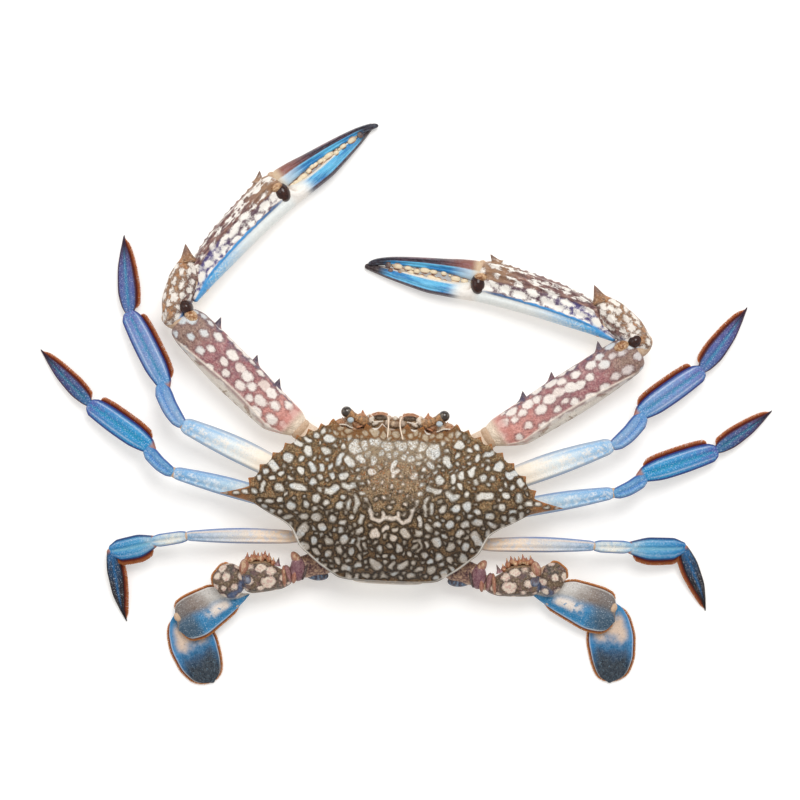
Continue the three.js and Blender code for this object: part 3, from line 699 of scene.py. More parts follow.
class Paint(Web):
    """One material: a base colour with other colours laid over it."""

    def __init__(self, name, base, roughness=0.4, coat=0.05, specular=0.22):
        self.material = bpy.data.materials.new(name)
        self.material.use_nodes = True
        super().__init__(self.material.node_tree)
        self.tree.nodes.clear()
        look = {"Roughness": roughness, "Coat Weight": coat, "Specular IOR Level": specular}
        self.shader = self.add("BsdfPrincipled", look)
        self.shader.inputs["Coat Roughness"].default_value = 0.15
        self.tree.links.new(self.shader.outputs[0], self.add("OutputMaterial").inputs[0])
        self.colour = base
        self.flat = self.stored("flat")
        self.x, self.y, self.z = self.parts("flat")
        self.along, self.across, self.up = self.parts("place")
        self.tip, self.bite, self.line = self.parts("mark")

    def stored(self, name):
        return Value(self, self.add("Attribute", attribute_name=name).outputs["Vector"])

    def parts(self, name):
        return [Value(self, part) for part in self.add("SeparateXYZ", {0: self.stored(name)}).outputs]

    def lay(self, colour, share):
        self.colour = self.mix(share, self.colour, colour)

    def cloud(self, colour, scale, low, high, share):
        """Lays soft clouds of a colour: the noise's scale, its values at the clouds' edge and heart."""
        self.lay(colour, self.noise(scale).rise(low, high) * share)

    def group(self, tree, **inputs):
        outputs = self.add("Group", dict(inputs, Vector=self.flat), node_tree=tree).outputs
        return [Value(self, output) for output in outputs]

    def spots(self, edge, waver, soft, rim):
        """Where spots and their dark rims are, from the distance to a spot's edge."""
        return self.group(SPOTS, Edge=edge, Waver=waver, Soft=soft, Rim=rim)

    def flecks(self, size, light, dark, share):
        """Lays fine flecks over the whole colour; gives the grains' height."""
        fleck, height = self.group(GRAIN, Size=size)
        self.lay(light, fleck * share)
        self.lay(dark, (1.0 - fleck) * share)
        return height

    def finish(self, height, depth, strength, roughness=None):
        self.feed(self.shader.inputs["Base Color"], self.colour)
        bumped = self.add("Bump", {"Height": height, "Strength": strength, "Distance": depth})
        self.feed(self.shader.inputs["Normal"], Value(self, bumped.outputs[0]))
        if roughness:
            self.feed(self.shader.inputs["Roughness"], roughness)
        return self.material


def new_group(name, inputs, outputs):
    """A node group that reads a place and numbers, and gives numbers."""
    tree = bpy.data.node_groups.new(name, "ShaderNodeTree")
    for label in inputs:
        kind = "NodeSocketVector" if label == "Vector" else "NodeSocketFloat"
        tree.interface.new_socket(label, in_out="INPUT", socket_type=kind)
    for label in outputs:
        tree.interface.new_socket(label, in_out="OUTPUT", socket_type="NodeSocketFloat")
    web = Web(tree)
    named = [output for output in tree.nodes.new("NodeGroupInput").outputs if output.name]
    web.flat, *given = [Value(web, output) for output in named]
    return web, given, tree.nodes.new("NodeGroupOutput").inputs


def make_grain():
    """Fine grains of the shell: lighter and darker flecks, and their height."""
    web, (size,), taken = new_group("shell_grain", ("Vector", "Size"), ("Fleck", "Height"))
    fine = web.maths("DIVIDE", 1.0, size)
    patches = web.noise(fine * 0.35, 4.0, 0.7)
    dust = web.noise(fine * 1.6, 2.0, 0.6)
    web.feed(taken["Fleck"], (patches * 0.55 + dust * 0.45).rise(0.33, 0.67))
    web.feed(taken["Height"], 1.0 - web.cells(fine))
    return web.tree


def make_spots():
    """Spots with a darker rim from the distance to a spot's edge."""
    labels = ("Vector", "Edge", "Waver", "Soft", "Rim")
    web, (edge, waver, soft, rim), taken = new_group("shell_spots", labels, ("Spot", "Rim"))
    coarse = web.noise(0.55, 2.0, 0.5) - 0.5
    fine = web.noise(2.2, 2.0, 0.6) - 0.5
    edge = edge + (coarse * 1.6 + fine * 0.8) * waver
    spot = edge.rise(soft, soft * -1.0)
    web.feed(taken["Spot"], spot)
    web.feed(taken["Rim"], edge.rise(rim, 0.0) * (1.0 - spot))
    return web.tree


GRAIN, SPOTS = make_grain(), make_spots()


def carapace_paint():
    p = Paint("carapace_shell", "7d6342", 0.42)
    wide = p.x.size()
    middle = p.y.rise(-12, 4) * wide.rise(30, 10)
    warm = p.noise(0.1, 3.0, 0.6).rise(0.42, 0.62)
    p.lay("96734a", warm * 0.8)
    p.lay("9b8062", middle * 0.8)
    p.lay("553617", p.y.rise(0, -24) * 0.9)
    p.lay("6f4e2e", wide.rise(40, 58) * 0.5)
    height = p.flecks(0.5, "c6b08c", "180d05", 0.2)
    fleck = p.noise(1.25, 4.0, 0.8)
    p.lay("170c05", fleck.rise(0.49, 0.36) * 0.9)
    p.lay("d8b98c", fleck.rise(0.52, 0.66) * p.y.rise(-26, 10, 0.3, 0.85))
    rust = p.noise(1.1, 2.0).rise(0.55, 0.66) * p.y.rise(-10, 14, 0.15, 0.6)
    p.lay("b0662c", rust)
    pimples = p.cells(0.95).rise(0.34, 0.12)
    pimpled = p.y.rise(-14, 2) * wide.rise(42, 16)
    p.lay(p.mix(fleck.rise(0.42, 0.56), "b8703c", "efe3d0"), pimples * pimpled * 0.75)
    brow = p.y.rise(15, 20) * p.y.rise(27.5, 25.5)
    brow = brow * wide.rise(26, 12)
    p.lay("b09c80", brow * fleck.rise(0.4, 0.56, 0.25, 0.85))
    cool = p.y.rise(14, -18)
    pale = p.mix(cool, "e8e2d6", "bfb2a4")
    blue = p.mix(p.noise(0.16, 2.0).rise(0.46, 0.62) * 0.6, pale, "c0cacf")
    edge, chance, _ = p.parts("spot")
    pink = wide.rise(14, 8) * p.y.rise(-20, -15)
    pink = pink * p.y.rise(18, 12)
    blue = p.mix(pink * 0.75, blue, "e6d0bc")
    dull = chance.rise(0.5, 0.95)
    blue = p.mix(dull * 0.45, blue, "9a8f7c")
    front = p.y.rise(26.2, 27.8) * wide.rise(31, 24)
    merging = (front * 0.3).most(brow * 0.5)
    dusty = wide.rise(24, 10) * (p.y.rise(-4, 6) * p.y.rise(30, 24))
    dusty = dusty * p.noise(0.22, 2.0).rise(0.42, 0.54, 0.25, 0.85)
    calm = front.most(brow).most(dusty)
    edge = edge - merging
    spot, rim = p.spots(edge, calm.rise(0.0, 1.0, 0.9, 1.8), calm.rise(0.0, 1.0, 0.36, 0.85), 1.5)
    rim_share = p.y.rise(26, -6, 0.7, 1.0) * calm.rise(1.0, 0.0, 0.3, 1.0)
    p.lay("140a04", rim * rim_share)
    worn = calm * p.noise(0.8, 3.0, 0.7).rise(0.6, 0.42)
    shown = spot * worn.rise(0.0, 1.0, 0.98, 0.3)
    p.lay(p.mix(edge.rise(-0.7, 0.1), blue, "7d7264"), shown)
    core = edge.rise(-0.3, -1.0) * p.noise(1.6, 3.0, 0.7).rise(0.44, 0.6)
    core = core * worn.rise(0.0, 0.8, 1.0, 0.2)
    p.lay("f8f6f2", core * p.y.rise(-24, 16, 0.4, 0.95))
    grit = spot * fleck.rise(0.47, 0.34)
    p.lay("5d5147", grit * 0.6)
    p.lay("80501f", front * edge.rise(-0.5, 0.4, 0.0, 0.75))
    p.lay("bda482", front * edge.rise(0.2, -0.7, 0.0, 0.75))
    p.lay("b8713a", p.tip * 0.9)
    p.lay("b87640", p.bite * edge.rise(0.0, 0.6, 0.0, 0.65))
    p.lay("f6efe4", p.line * p.y.rise(-35, -29, 0.45, 1.0))
    p.lay("c9b79c", p.up.rise(0.1, -0.25))
    spotty = spot * 0.3
    height = height + fleck * 1.2
    height = height + pimples * (pimpled * 0.6)
    rough = p.noise(0.5).rise(0.3, 0.7, 0.36, 0.52)
    return p.finish(height - spotty, 0.0004, 0.9, rough)


def claw_merus_paint():
    p = Paint("claw_merus_shell", "a05c62", 0.36)
    p.cloud("743a4a", 0.25, 0.46, 0.62, 0.75)
    p.cloud("c39a96", 0.4, 0.5, 0.62, 0.6)
    p.lay("8c7360", p.along.rise(0.74, 0.92) * 0.9)
    p.lay("e49a8c", p.along.rise(0.52, 0.14) * 0.9)
    p.lay("35305a", p.across.rise(0.6, 0.92) * p.noise(0.3).rise(0.38, 0.58))
    fine = p.noise(1.2, 3.0, 0.7)
    p.lay("4a1e26", fine.rise(0.48, 0.34) * 0.6)
    p.lay("d6a89c", fine.rise(0.54, 0.68) * 0.65)
    edge, chance, _ = p.parts("spot")
    white = p.mix(p.along.rise(0.7, 0.95), "fbf3ea", "dce4e6")
    white = p.mix(chance.rise(0.6, 1.0) * 0.5, white, "dcb8ac")
    spot, rim = p.spots(edge, 1.1, 0.6, 1.3)
    p.lay("52202a", rim * 0.75)
    p.lay(white, spot * 0.97)
    outer = p.mix(p.noise(0.26).rise(0.55, 0.66), "f3e8d8", "a58b70")
    p.lay(outer, p.bite * p.along.rise(0.98, 0.8))
    p.lay("d2867a", p.along.rise(0.16, 0.1) * 0.7)
    p.lay("fae8d0", p.along.rise(0.1, 0.04))
    p.lay("fbeede", p.line * 0.95)
    p.lay("f0e2d0", p.up.rise(-0.1, -0.6))
    p.lay("20243c", p.tip * 0.95)
    return p.finish(p.flecks(0.7, "f0dad2", "3d1f24", 0.2), 0.00035, 0.8)


def claw_carpus_paint():
    p = Paint("claw_carpus_shell", "97683f", 0.34)
    p.cloud("c8854c", 0.2, 0.5, 0.64, 0.8)
    p.lay("5d3440", p.across.rise(-0.1, 0.6) * 0.8)
    fine = p.noise(0.9, 3.0, 0.7)
    p.lay("38201a", fine.rise(0.48, 0.36) * 0.65)
    p.lay("e8cdb0", fine.rise(0.54, 0.68) * 0.6)
    edge, _, gap = p.parts("spot")
    spot, rim = p.spots(edge.least(1.1 - gap * 0.5), 2.2, 0.6, 1.0)
    p.lay("3f221e", rim * 0.8)
    p.lay("f8f0e6", spot)
    blue = p.across.rise(0.55, 0.9) * p.along.rise(0.6, 0.1)
    p.lay("2b8fd6", blue * 0.85)
    p.lay("efe3d3", p.up.rise(-0.15, -0.6))
    p.lay("50303a", p.tip * 0.8)
    p.lay("fbf7f0", p.bite * 0.95)
    return p.finish(p.flecks(0.6, "eadccb", "2a1c14", 0.16), 0.0003, 0.7)


def palm_paint():
    """The claw's palm: a ridged brown band, a netted cream band, a blue line and a pale lower face,
    and the fixed finger beyond."""
    p = Paint("palm_shell", "f3ede2", 0.33)
    waver = (p.noise(0.35) - 0.5) * 0.2
    place = p.across + waver
    band_edge = p.along.rise(0.15, 0.9, -0.4, -0.08)
    below = place - band_edge
    streak = p.noise(1.0, 3.0, 0.65, stretch=(0.2, 0.6, 0.6))
    brown = p.mix(streak.rise(0.38, 0.6), "54282f", "94685a")
    brown = p.mix(p.along.rise(0.62, 0.9) * 0.75, brown, "a07850")
    brown = p.mix(streak.rise(0.56, 0.68) * 0.7, brown, "e6d3c4")
    p.lay(brown, p.along.rise(1.08, 1.0))
    deep = p.mix(p.along.rise(0.55, 0.2), "4c2238", "3a2c74")
    p.lay(deep, below.rise(-0.05, 0.08) * p.along.rise(1.0, 0.92))
    near_line = place.rise(0.38, 0.43) * p.along.rise(0.9, 0.4, 0.0, 0.9)
    p.lay("1d8fdc", near_line)
    edge, _, gap = p.parts("spot")
    border = below.rise(-0.2, 0.25, 1.35, 0.36)
    border = border + p.along.rise(0.75, 0.95) * -0.2
    torn = (0.53 - streak) * below.rise(0.1, -0.15, 0.0, 8.0)
    edge = edge + torn
    cell = border - gap * 0.5
    edge = edge.least(cell)
    spot, rim = p.spots(edge, 1.2, 0.5, 0.8)
    upper = place.rise(0.44, 0.38) * p.along.rise(1.06, 0.98)
    p.lay("3d1c22", rim * upper * below.rise(0.1, -0.1, 0.0, 0.6))
    p.lay("f8f2e9", spot * upper)
    p.lay("f8f2ea", p.along.rise(0.84, 0.96) * below.rise(0.0, 0.2))
    low = p.across.rise(0.5, 0.58) * p.along.rise(1.02, 0.95)
    low_blue = p.mix(p.along.rise(0.62, 0.06), "f2f6f3", "4bb0e8")
    mottled = p.noise(1.1, 3.0).rise(0.44, 0.6)
    low_blue = p.mix(mottled * 0.6, low_blue, "eaf0ee")
    p.lay(low_blue, low)
    line = place.rise(0.43, 0.46) * place.rise(0.56, 0.5)
    line = line * p.along.rise(1.0, 0.9)
    p.lay("1a9ee6", line * p.along.rise(0.85, 0.45, 0.35, 0.95))
    behind = p.along.rise(0.1, 0.0) * p.across.rise(0.1, 0.4)
    p.lay("2a9ce0", behind * 0.85)
    finger = p.along.rise(1.08, 1.2)
    shades = p.noise(1.0, 3.0, 0.6, stretch=(0.06, 0.6, 0.6))
    blue = p.mix(shades.rise(0.4, 0.6), "0a80c0", "5cbce6")
    blue = p.mix(p.along.rise(1.24, 1.1), blue, "dcebf2")
    p.lay(blue, finger)
    p.lay("2e1430", finger * p.across.rise(0.5, 0.74))
    p.lay("f0e6d6", finger * p.across.rise(-0.5, -0.75))
    p.lay("4a2e2c", p.tip * 0.8)
    tooth = p.mix(p.along.rise(1.5, 1.66), "f3dfbd", "6e4a3c")
    tooth = p.mix(p.across.size().rise(0.35, 0.85), tooth, "9a5c30")
    p.lay(tooth, p.bite)
    p.lay("2a121c", p.along.rise(1.66, 1.78))
    p.lay("f4f0ea", p.line * 0.5)
    p.lay("f3eee6", p.up.rise(-0.2, -0.7) * p.along.rise(1.3, 0.9))
    return p.finish(p.flecks(0.5, "fbf6ee", "4a343a", 0.12), 0.0002, 0.55)


def finger_paint():
    p = Paint("finger_shell", "0a78ba", 0.3)
    shades = p.noise(1.0, 3.0, 0.6, stretch=(0.06, 0.6, 0.6))
    p.lay("62c0e6", shades.rise(0.4, 0.6) * 0.85)
    p.lay("dbe8ee", p.along.rise(0.3, 0.06) * 0.8)
    edge_brown = p.mix(p.along.rise(0.4, 0.08), "3a1722", "8a4a32")
    streaks = p.noise(1.0, 2.0, stretch=(0.05, 0.9, 0.9))
    edge_brown = p.mix(streaks.rise(0.52, 0.7) * 0.5, edge_brown, "a8626a")
    p.lay(edge_brown, p.across.rise(0.1, -0.1))
    p.lay("f0d6ae", p.along.rise(0.1, 0.0) * 0.8)
    tooth = p.mix(p.along.rise(0.7, 0.85), "f0dab4", "6e4a3c")
    tooth = p.mix(p.across.size().rise(0.35, 0.85), tooth, "9a5c30")
    p.lay(tooth, p.bite)
    p.lay("2c131c", p.along.rise(0.76, 0.88))
    return p.finish(p.flecks(0.45, "b4dcf2", "0f2433", 0.12), 0.00015, 0.5)


def leg_paint(name, stops, clouds, edge, groove, pale_line=0, tip=None, speck="e8eef5", edge_and_shade_start=1):
    """A walking leg's shell: colours along it, clouds of a second colour, a dark edge that is partly the
    shell's own thin dark edge and partly painted shade on its rounded sides, a tinted groove and a dark tip."""
    p = Paint(name, "ffffff", 0.36)
    ramp = p.add("ValToRGB", {0: p.along})
    marks = ramp.color_ramp.elements
    for index, (where, code) in enumerate(stops):
        mark = marks[index] if index < 2 else marks.new(where)
        mark.position, mark.color = where, hue(code)
    p.colour = Value(p, ramp.outputs[0])
    p.lay(clouds, p.noise(0.45, 5.0, 0.75).rise(0.42, 0.66) * 0.7)
    p.lay(groove, p.line * 0.85)
    if pale_line:
        p.lay("c9d4ea", p.bite * pale_line)
    dotty = p.noise(1.7, 3.0, 0.75)
    p.lay(speck, dotty.rise(0.54, 0.68) * 0.45)
    # How strong the dark edge, with its painted shade on the rounded sides, is along the segment.
    edge_and_shade_share = p.along.rise(0.1, 0.6, edge_and_shade_start, 1.0)
    p.lay(edge, dotty.rise(0.46, 0.3) * (edge_and_shade_share * 0.45))
    if tip:
        p.lay(tip, p.along.rise(0.6, 0.95))
    # Painted shade: the dark edge colour is spread over the rounded sides, darkening them as well as drawing
    # the thin edge.
    p.lay(edge, p.across.size().rise(0.7, 0.92) * (edge_and_shade_share * 0.95))
    if pale_line or tip:
        p.lay("b8703e", p.along.rise(0.035, -0.02) * 0.7)
    p.lay("efe3d2", p.up.rise(-0.3, -0.8) * 0.55)
    return p.finish(p.group(GRAIN, Size=0.5)[1], 0.0002, 0.6)


def swim_paint():
    p = Paint("swim_shell", "6a553f", 0.34)
    p.cloud("333f48", 0.22, 0.52, 0.62, 0.6)
    p.cloud("63394a", 0.3, 0.5, 0.62, 0.6)
    fine = p.noise(1.2, 3.0, 0.7)
    p.lay("1c120e", fine.rise(0.5, 0.36) * 0.65)
    p.lay("b89c80", fine.rise(0.52, 0.68) * 0.65)
    p.lay("2a5a8c", p.line * 0.7)
    spot, rim = p.spots(p.parts("spot")[0], 1.2, 0.5, 1.3)
    p.lay("3c1e22", rim * 0.95)
    p.lay("ead9c6", spot)
    core = spot * p.noise(0.9, 2.0).rise(0.48, 0.62)
    p.lay("cf9c94", core * 0.7)
    p.lay("c98450", p.tip * 0.9)
    p.lay("d9b48c", p.bite * 0.5)
    p.lay("e6d8c6", p.up.rise(-0.2, -0.7))
    return p.finish(p.flecks(0.6, "b7a790", "1b1412", 0.2), 0.0003, 0.7)


def blade_paint(name, paddle):
    """The two flat plates of a swimming leg."""
    p = Paint(name, "1279ac", 0.32)
    cloud = (p.noise(0.13, 4.0) - 0.5) * 0.34
    along, across = (p.along + cloud, p.across + cloud)
    speck = p.noise(1.6, 3.0, 0.75)
    if paddle:
        cream = along.rise(0.04, 0.18) * along.rise(0.52, 0.34)
        cream = cream * (across + 0.05).size().rise(1.05, 0.5)
        p.lay("dcc0a8", cream)
        p.lay("10466e", along.rise(0.4, 0.6))
        p.lay("0e141e", along.rise(0.5, 0.76) * 0.95)
        rim_blue = across.size().rise(0.6, 0.95) * 0.7
        p.lay("1c80bc", rim_blue * along.rise(0.85, 0.5))
        specks = speck.rise(0.55, 0.7) * p.along.rise(0.3, 0.5)
        p.lay("7aa6c0", specks * 0.35)
    else:
        grey = across.rise(-0.15, 0.35) * 0.95
        tone = p.mix(along.rise(0.25, 0.7), "d6cec4", "86705e")
        p.lay(tone, grey)
        pale = (across + 0.22).size().rise(0.42, 0.1)
        pale = pale * (along.rise(0.06, 0.2) * along.rise(0.64, 0.42))
        pale = pale * p.noise(0.3, 2.0).rise(0.42, 0.52, 0.15, 0.9)
        p.lay("f3e0ce", pale)
        dusk = along.rise(0.62, 0.9) * across.rise(0.5, -0.2, 0.35, 1.0)
        p.lay("33424e", dusk * 0.85)
        p.lay("e6ecef", speck.rise(0.56, 0.7) * 0.5)
    p.lay("0b1520", speck.rise(0.46, 0.32) * 0.5)
    p.lay("f3eee6", p.line * 0.6)
    p.lay("e8e0d4", p.up.rise(-0.3, -0.8) * 0.5)
    return p.finish(p.flecks(0.5, "d5e3ea", "13202b", 0.1), 0.0002, 0.6)


def belly_paint():
    p = Paint("belly_shell", "ece2d2", 0.38, 0.3)
    p.cloud("c9d3dc", 0.07, 0.48, 0.66, 0.55)
    p.lay("dcc19c", p.line * 0.8)
    p.lay("7c6450", p.z.rise(7, 11) * 0.85)
    pale = p.noise(0.35).rise(0.5, 0.58) * p.z.rise(7, 9)
    p.lay("cfc4b8", pale * 0.7)
    p.lay("c8a27a", p.tip * 0.8)
    return p.finish(p.flecks(0.8, "f8f2e6", "b79f82", 0.18), 0.00015, 0.4)


def mouth_paint():
    p = Paint("mouth_shell", "8a5a2a", 0.4, 0.1)
    p.cloud("d0ad84", 0.5, 0.45, 0.58, 0.85)
    p.cloud("4a2a14", 0.9, 0.54, 0.64, 0.7)
    p.lay("f6ebdc", p.line * 0.9)
    # Painted shade: the bite-marked lumps in front of the shell are laid nearly black to stand for the dark
    # hollows there.
    p.lay("2f1a0c", p.bite * 0.98)
    p.lay("c06a30", p.tip * 0.9)
    return p.finish(p.flecks(0.5, "f0dfc6", "3a2210", 0.3), 0.0003, 0.7)


def plain_paint(name, base, light, dark, size, roughness, coat, share=0.35):
    p = Paint(name, base, roughness, coat)
    return p.finish(p.flecks(size, light, dark, share), 0.0001, 0.4)


def plates_paint():
    """The folded plates at the swimming legs' feet."""
    p = Paint("swim_plate_shell", "6f3c4c", 0.36)
    streak = p.noise(1.0, 3.0, 0.65, stretch=(0.6, 0.25, 0.6))
    p.lay("b98a90", streak.rise(0.5, 0.64) * 0.8)
    warm = p.mix(streak.rise(0.38, 0.52), "e2bd90", "a85f32")
    p.lay(warm, p.tip)
    p.lay("2a1a16", p.bite)
    p.lay(p.mix(streak.rise(0.46, 0.6), "1d2a44", "46708e"), p.line)
    return p.finish(p.flecks(0.6, "f0e0d0", "201018", 0.2), 0.0003, 0.7)


def eye_paint():
    p = Paint("eye_shell", "8a5c34", 0.4)
    p.cloud("d09058", 0.6, 0.46, 0.58, 0.85)
    p.cloud("1d120a", 0.8, 0.54, 0.62, 0.8)
    p.lay("efe0cc", p.line * 0.85)
    p.lay("c4dcea", p.bite * 0.95)
    return p.finish(p.flecks(0.4, "e6cda8", "150b05", 0.35), 0.0003, 0.7)


def cornea_paint():
    p = Paint("cornea", "30251c", 0.16, 0.6, 0.5)
    p.cloud("8f8474", 0.5, 0.46, 0.64, 0.6)
    p.lay("120c08", p.across.rise(0.5, 0.95))
    facets = p.cells(7.0)
    return p.finish(facets, 0.00002, 0.25)


def feeler_paint():
    p = Paint("feeler_shell", "eed8c0", 0.4)
    p.lay("a4622e", p.along.rise(0.56, 0.4))
    return p.finish(p.flecks(0.5, "fbf1e4", "b98460", 0.3), 0.0001, 0.4)


def hair_paint(name, root, tip):
    p = Paint(name, root, 0.6, 0.0)
    p.lay(tip, p.along.rise(0.35, 0.85))
    p.lay("3a160e", p.across.rise(0.3, 1.0) * 0.2)
    strand = p.noise(3.0, 2.0)
    return p.finish(strand, 0.00004, 0.3)


# The walking legs' paints: the colours along a segment, its clouds, its dark edge (with painted shade on
# the rounded sides) and groove, then the pale line's strength, the tip, the specks and how strong the
# edge and its painted shade are at the start.
BLUE_EDGE_AND_SHADE, TEAL = "1b2c72", "1c7fa6"
LEG_COLOURS = {
    "leg_merus": (
        [(0, "fff6e6"), (0.4, "fdf2e0"), (0.64, "dbe6ea"), (0.95, "86b6dc")],
        "fdeedb", "9fb4cc", "8fbbe0", 0, None, "ffffff", 0.1,
    ),
    "leg_carpus": ([(0, "8cabcc"), (0.5, "8aa6ca"), (1, "5f8cc0")], "5e9cca", "24509c", "3f78b8"),
    "leg_propodus": (
        [(0, "4c88bc"), (0.3, "728cbc"), (0.75, "6e7eb6"), (1, "5b64a4")], "4e92be", BLUE_EDGE_AND_SHADE, TEAL, 0.7,
    ),
    "leg_tip": (
        [(0, "40669c"), (0.35, "4a5290"), (0.7, "463a74"), (1, "38203a")],
        "586ca0", "3d2030", TEAL, 0, "331a2c",
    ),
    "second_merus": (
        [(0, "fdf2e0"), (0.3, "ece9e2"), (0.6, "a9c8dc"), (0.95, "6da4d0")],
        "e6e6e4", "7f9cc4", "7fb0dc", 0, None, "ffffff", 0.1,
    ),
    "second_carpus": ([(0, "5891bc"), (0.5, "5d8ebb"), (1, "447fb4")], "7aaacc", "28539c", "3f7cc0"),
    "second_propodus": (
        [(0, "2084ba"), (0.3, "2a8cc0"), (0.75, "427ab6"), (1, "50589c")], "1c90bc", BLUE_EDGE_AND_SHADE, "0d8ab0", 0.6,
    ),
    "second_tip": (
        [(0, "2f6498"), (0.3, "38447a"), (0.7, "3e285e"), (1, "2c1630")],
        "2a6488", "42182c", "12708c", 0, "2c1226",
    ),
    "third_merus": (
        [(0, "efd0b0"), (0.4, "eed8c0"), (0.7, "c4c8ca"), (0.97, "7c9fbc")],
        "c6cedc", "6d86b8", "e8d0bc", 0, None, "fff6ea", 0.15,
    ),
    "third_carpus": ([(0, "bccad0"), (0.5, "e6e2d4"), (1, "86b2cc")], "78a6c8", "3a66a6", "e6e2d6"),
    "third_propodus": (
        [(0, "aabfc8"), (0.3, "5299c0"), (0.8, "287db0"), (1, "2268a0")], "3a90c0", "173066", "7ab6cc", 0.3,
    ),
    "third_tip": (
        [(0, "1e6498"), (0.25, "1b3e5e"), (0.5, "201e26"), (1, "181010")],
        "3a302c", "1f1316", "1d6498", 0, "1f1210",
    ),
}
PAINTS = {name: leg_paint(name + "_shell", *colours) for name, colours in LEG_COLOURS.items()}
PAINTS |= {
    "carapace": carapace_paint(),
    "claw_merus": claw_merus_paint(),
    "claw_carpus": claw_carpus_paint(),
    "palm": palm_paint(),
    "finger": finger_paint(),
    "swim": swim_paint(),
    "swim_plates": plates_paint(),
    "blade": blade_paint("swim_blade_shell", False),
    "paddle": blade_paint("paddle_shell", True),
    "belly": belly_paint(),
    "mouth": mouth_paint(),
    "mouth_plate": plain_paint("mouth_plate_shell", "cbb396", "f0e4d0", "7d5f42", 0.9, 0.4, 0.1, 0.5),
    "coxa": plain_paint("coxa_shell", "e6cdb2", "f8ecdc", "a07c66", 0.8, 0.4, 0.1),
    "swim_root": plain_paint("swim_root_shell", "7c4f4c", "dcb998", "2c1a28", 1.4, 0.36, 0.1, 0.8),
    "skin": plain_paint("joint_skin", "c9a98a", "eedcc6", "8c644a", 0.6, 0.5, 0.05),
    "knuckle": plain_paint("knuckle", "26100e", "6a3a24", "0c0505", 0.9, 0.22, 0.4, 0.3),
    "knuckle_cap": plain_paint("knuckle_cap", "b5733c", "f2d6ae", "5a2f18", 1.3, 0.3, 0.2, 0.8),
    "feeler": feeler_paint(),
    "eye": eye_paint(),
    "cornea": cornea_paint(),
    "hair": hair_paint("leg_hair", "74291a", "d0804c"),
    "pale_hair": hair_paint("paddle_hair", "8c4622", "de9858"),
}

# ---- The back shell ----

# Pale marks on the right half: x, y, length, width and turn in degrees.
MARKS = [
    (41, 4, 9.6, 3.2, 8), (46, 17, 4.8, 4.8, 0), (52, 13.5, 5.4, 4, 20), (40, 12, 4.5, 3.2, 25),
    (35, 14, 5, 2.6, 60), (31, 13, 4, 3, 60), (24, 18, 6.2, 2.8, -70), (29, 26, 5.2, 4.2, 0),
    (37, 21, 4.8, 3.2, 70), (42, 23, 5.4, 2.6, 25), (53, 8, 2.6, 2.6, 0), (56.5, 4, 4.8, 2.4, -80),
    (50, 4, 4.5, 3.2, -10), (53, -2, 3.4, 2.5, -10), (49, -1, 3.2, 3, 0), (44, -4, 4.2, 3.8, 0),
    (38, -3, 2.8, 2.6, 0), (33, 0, 4.6, 4, 90), (38, -8, 4.8, 3.2, -5), (33, -8.5, 4, 3.4, 0),
    (45, -9, 5.2, 2.4, -25), (39, -15, 8.4, 3.4, -60), (30, -13, 4.2, 3.8, 90), (33, -19, 4, 3, -70),
    (27, -19, 4, 3.4, 0), (22, -23, 4, 3.4, 90), (27, -25, 3.6, 2.8, -70), (16, -23, 3.4, 2.8, 90),
    (16.5, -18, 3.8, 2.6, -80), (20.5, -17, 4.8, 3, -70), (13, -13, 4, 3.8, 0), (6, -14, 5.2, 4.2, -80),
    (21, 10, 4.6, 3.6, -60), (26, 10.5, 4, 2.4, 90), (9, 12, 4, 3.4, 10), (23, -2.5, 4.2, 3.4, 90),
    (18, -2, 5, 2.2, -85), (26, -9, 4, 3.2, 20), (20.5, -9.5, 3.4, 2.8, 0), (19, -30, 4.4, 3.6, 10),
    (13.5, -29, 3.6, 2.8, 0), (6, -27.5, 6.4, 3, 35), (2, -32.5, 5.6, 2.2, 5), (10, -33, 4.6, 2, 8),
    (4, -20.5, 3.8, 2.8, -80), (11, -19.5, 3.6, 2, 60), (17, 23, 6.4, 5.4, 90), (12.6, 24.6, 4.4, 3.6, 40),
    (8, 25.4, 5.6, 3.8, 0), (2.8, 24.4, 4.8, 3.8, 0), (11, 20, 2.6, 2.4, 0), (21, 0.6, 3.4, 2.6, 20),
    (60.5, 1.4, 3.4, 2.4, 10), (64.6, 0.9, 3.2, 2.2, 0), (68.8, 0.2, 3, 1.6, 0), (72.4, 0.1, 2.4, 1, 0),
    (12.5, 3.6, 3, 2.6, 0),
]
# Winding pale marks on the right half: the points they pass through, and their half width.
WINDING_MARKS = [
    ([(0, -7.4), (2, -7), (3.8, -7.6), (5.8, -8.6), (7.9, -7.8), (9.2, -4), (11.4, 0.8)], 1.15),
    ([(15.6, 1.6), (14.6, -1.4), (15.6, -4.6)], 1.1),
    ([(12.4, -6.6), (13, -9.4)], 1.3),
    ([(3.2, -5.2), (3.3, -7.4)], 1.1),
    ([(16.2, 6.4), (18.6, 5.2), (21, 6.2)], 1.45),
    ([(24.6, 4.8), (26.6, 2.8), (28.6, 3.6)], 1.4),
    ([(11, -16.6), (13.4, -15.8), (14, -18.4), (12.6, -21.4)], 0.95),
    ([(0.6, 11.4), (-0.4, 14), (0.5, 17)], 1.1),
    ([(0.2, 12.6), (2.2, 13.6)], 1.1),
]
# Broad bumps on the right half: x, y, how wide, how long and how high.
SHELL_BUMPS = [
    (0, 9, 17, 11, 0.9), (0, -4, 8, 8, 0.5), (5.2, -14.5, 4.4, 5.2, 0.8), (35, -7, 15, 13, 1.1),
    (38, 15, 12, 8, 0.7), (20, 19, 7, 7, 0.5), (9, -27, 9, 5, 0.5),
]
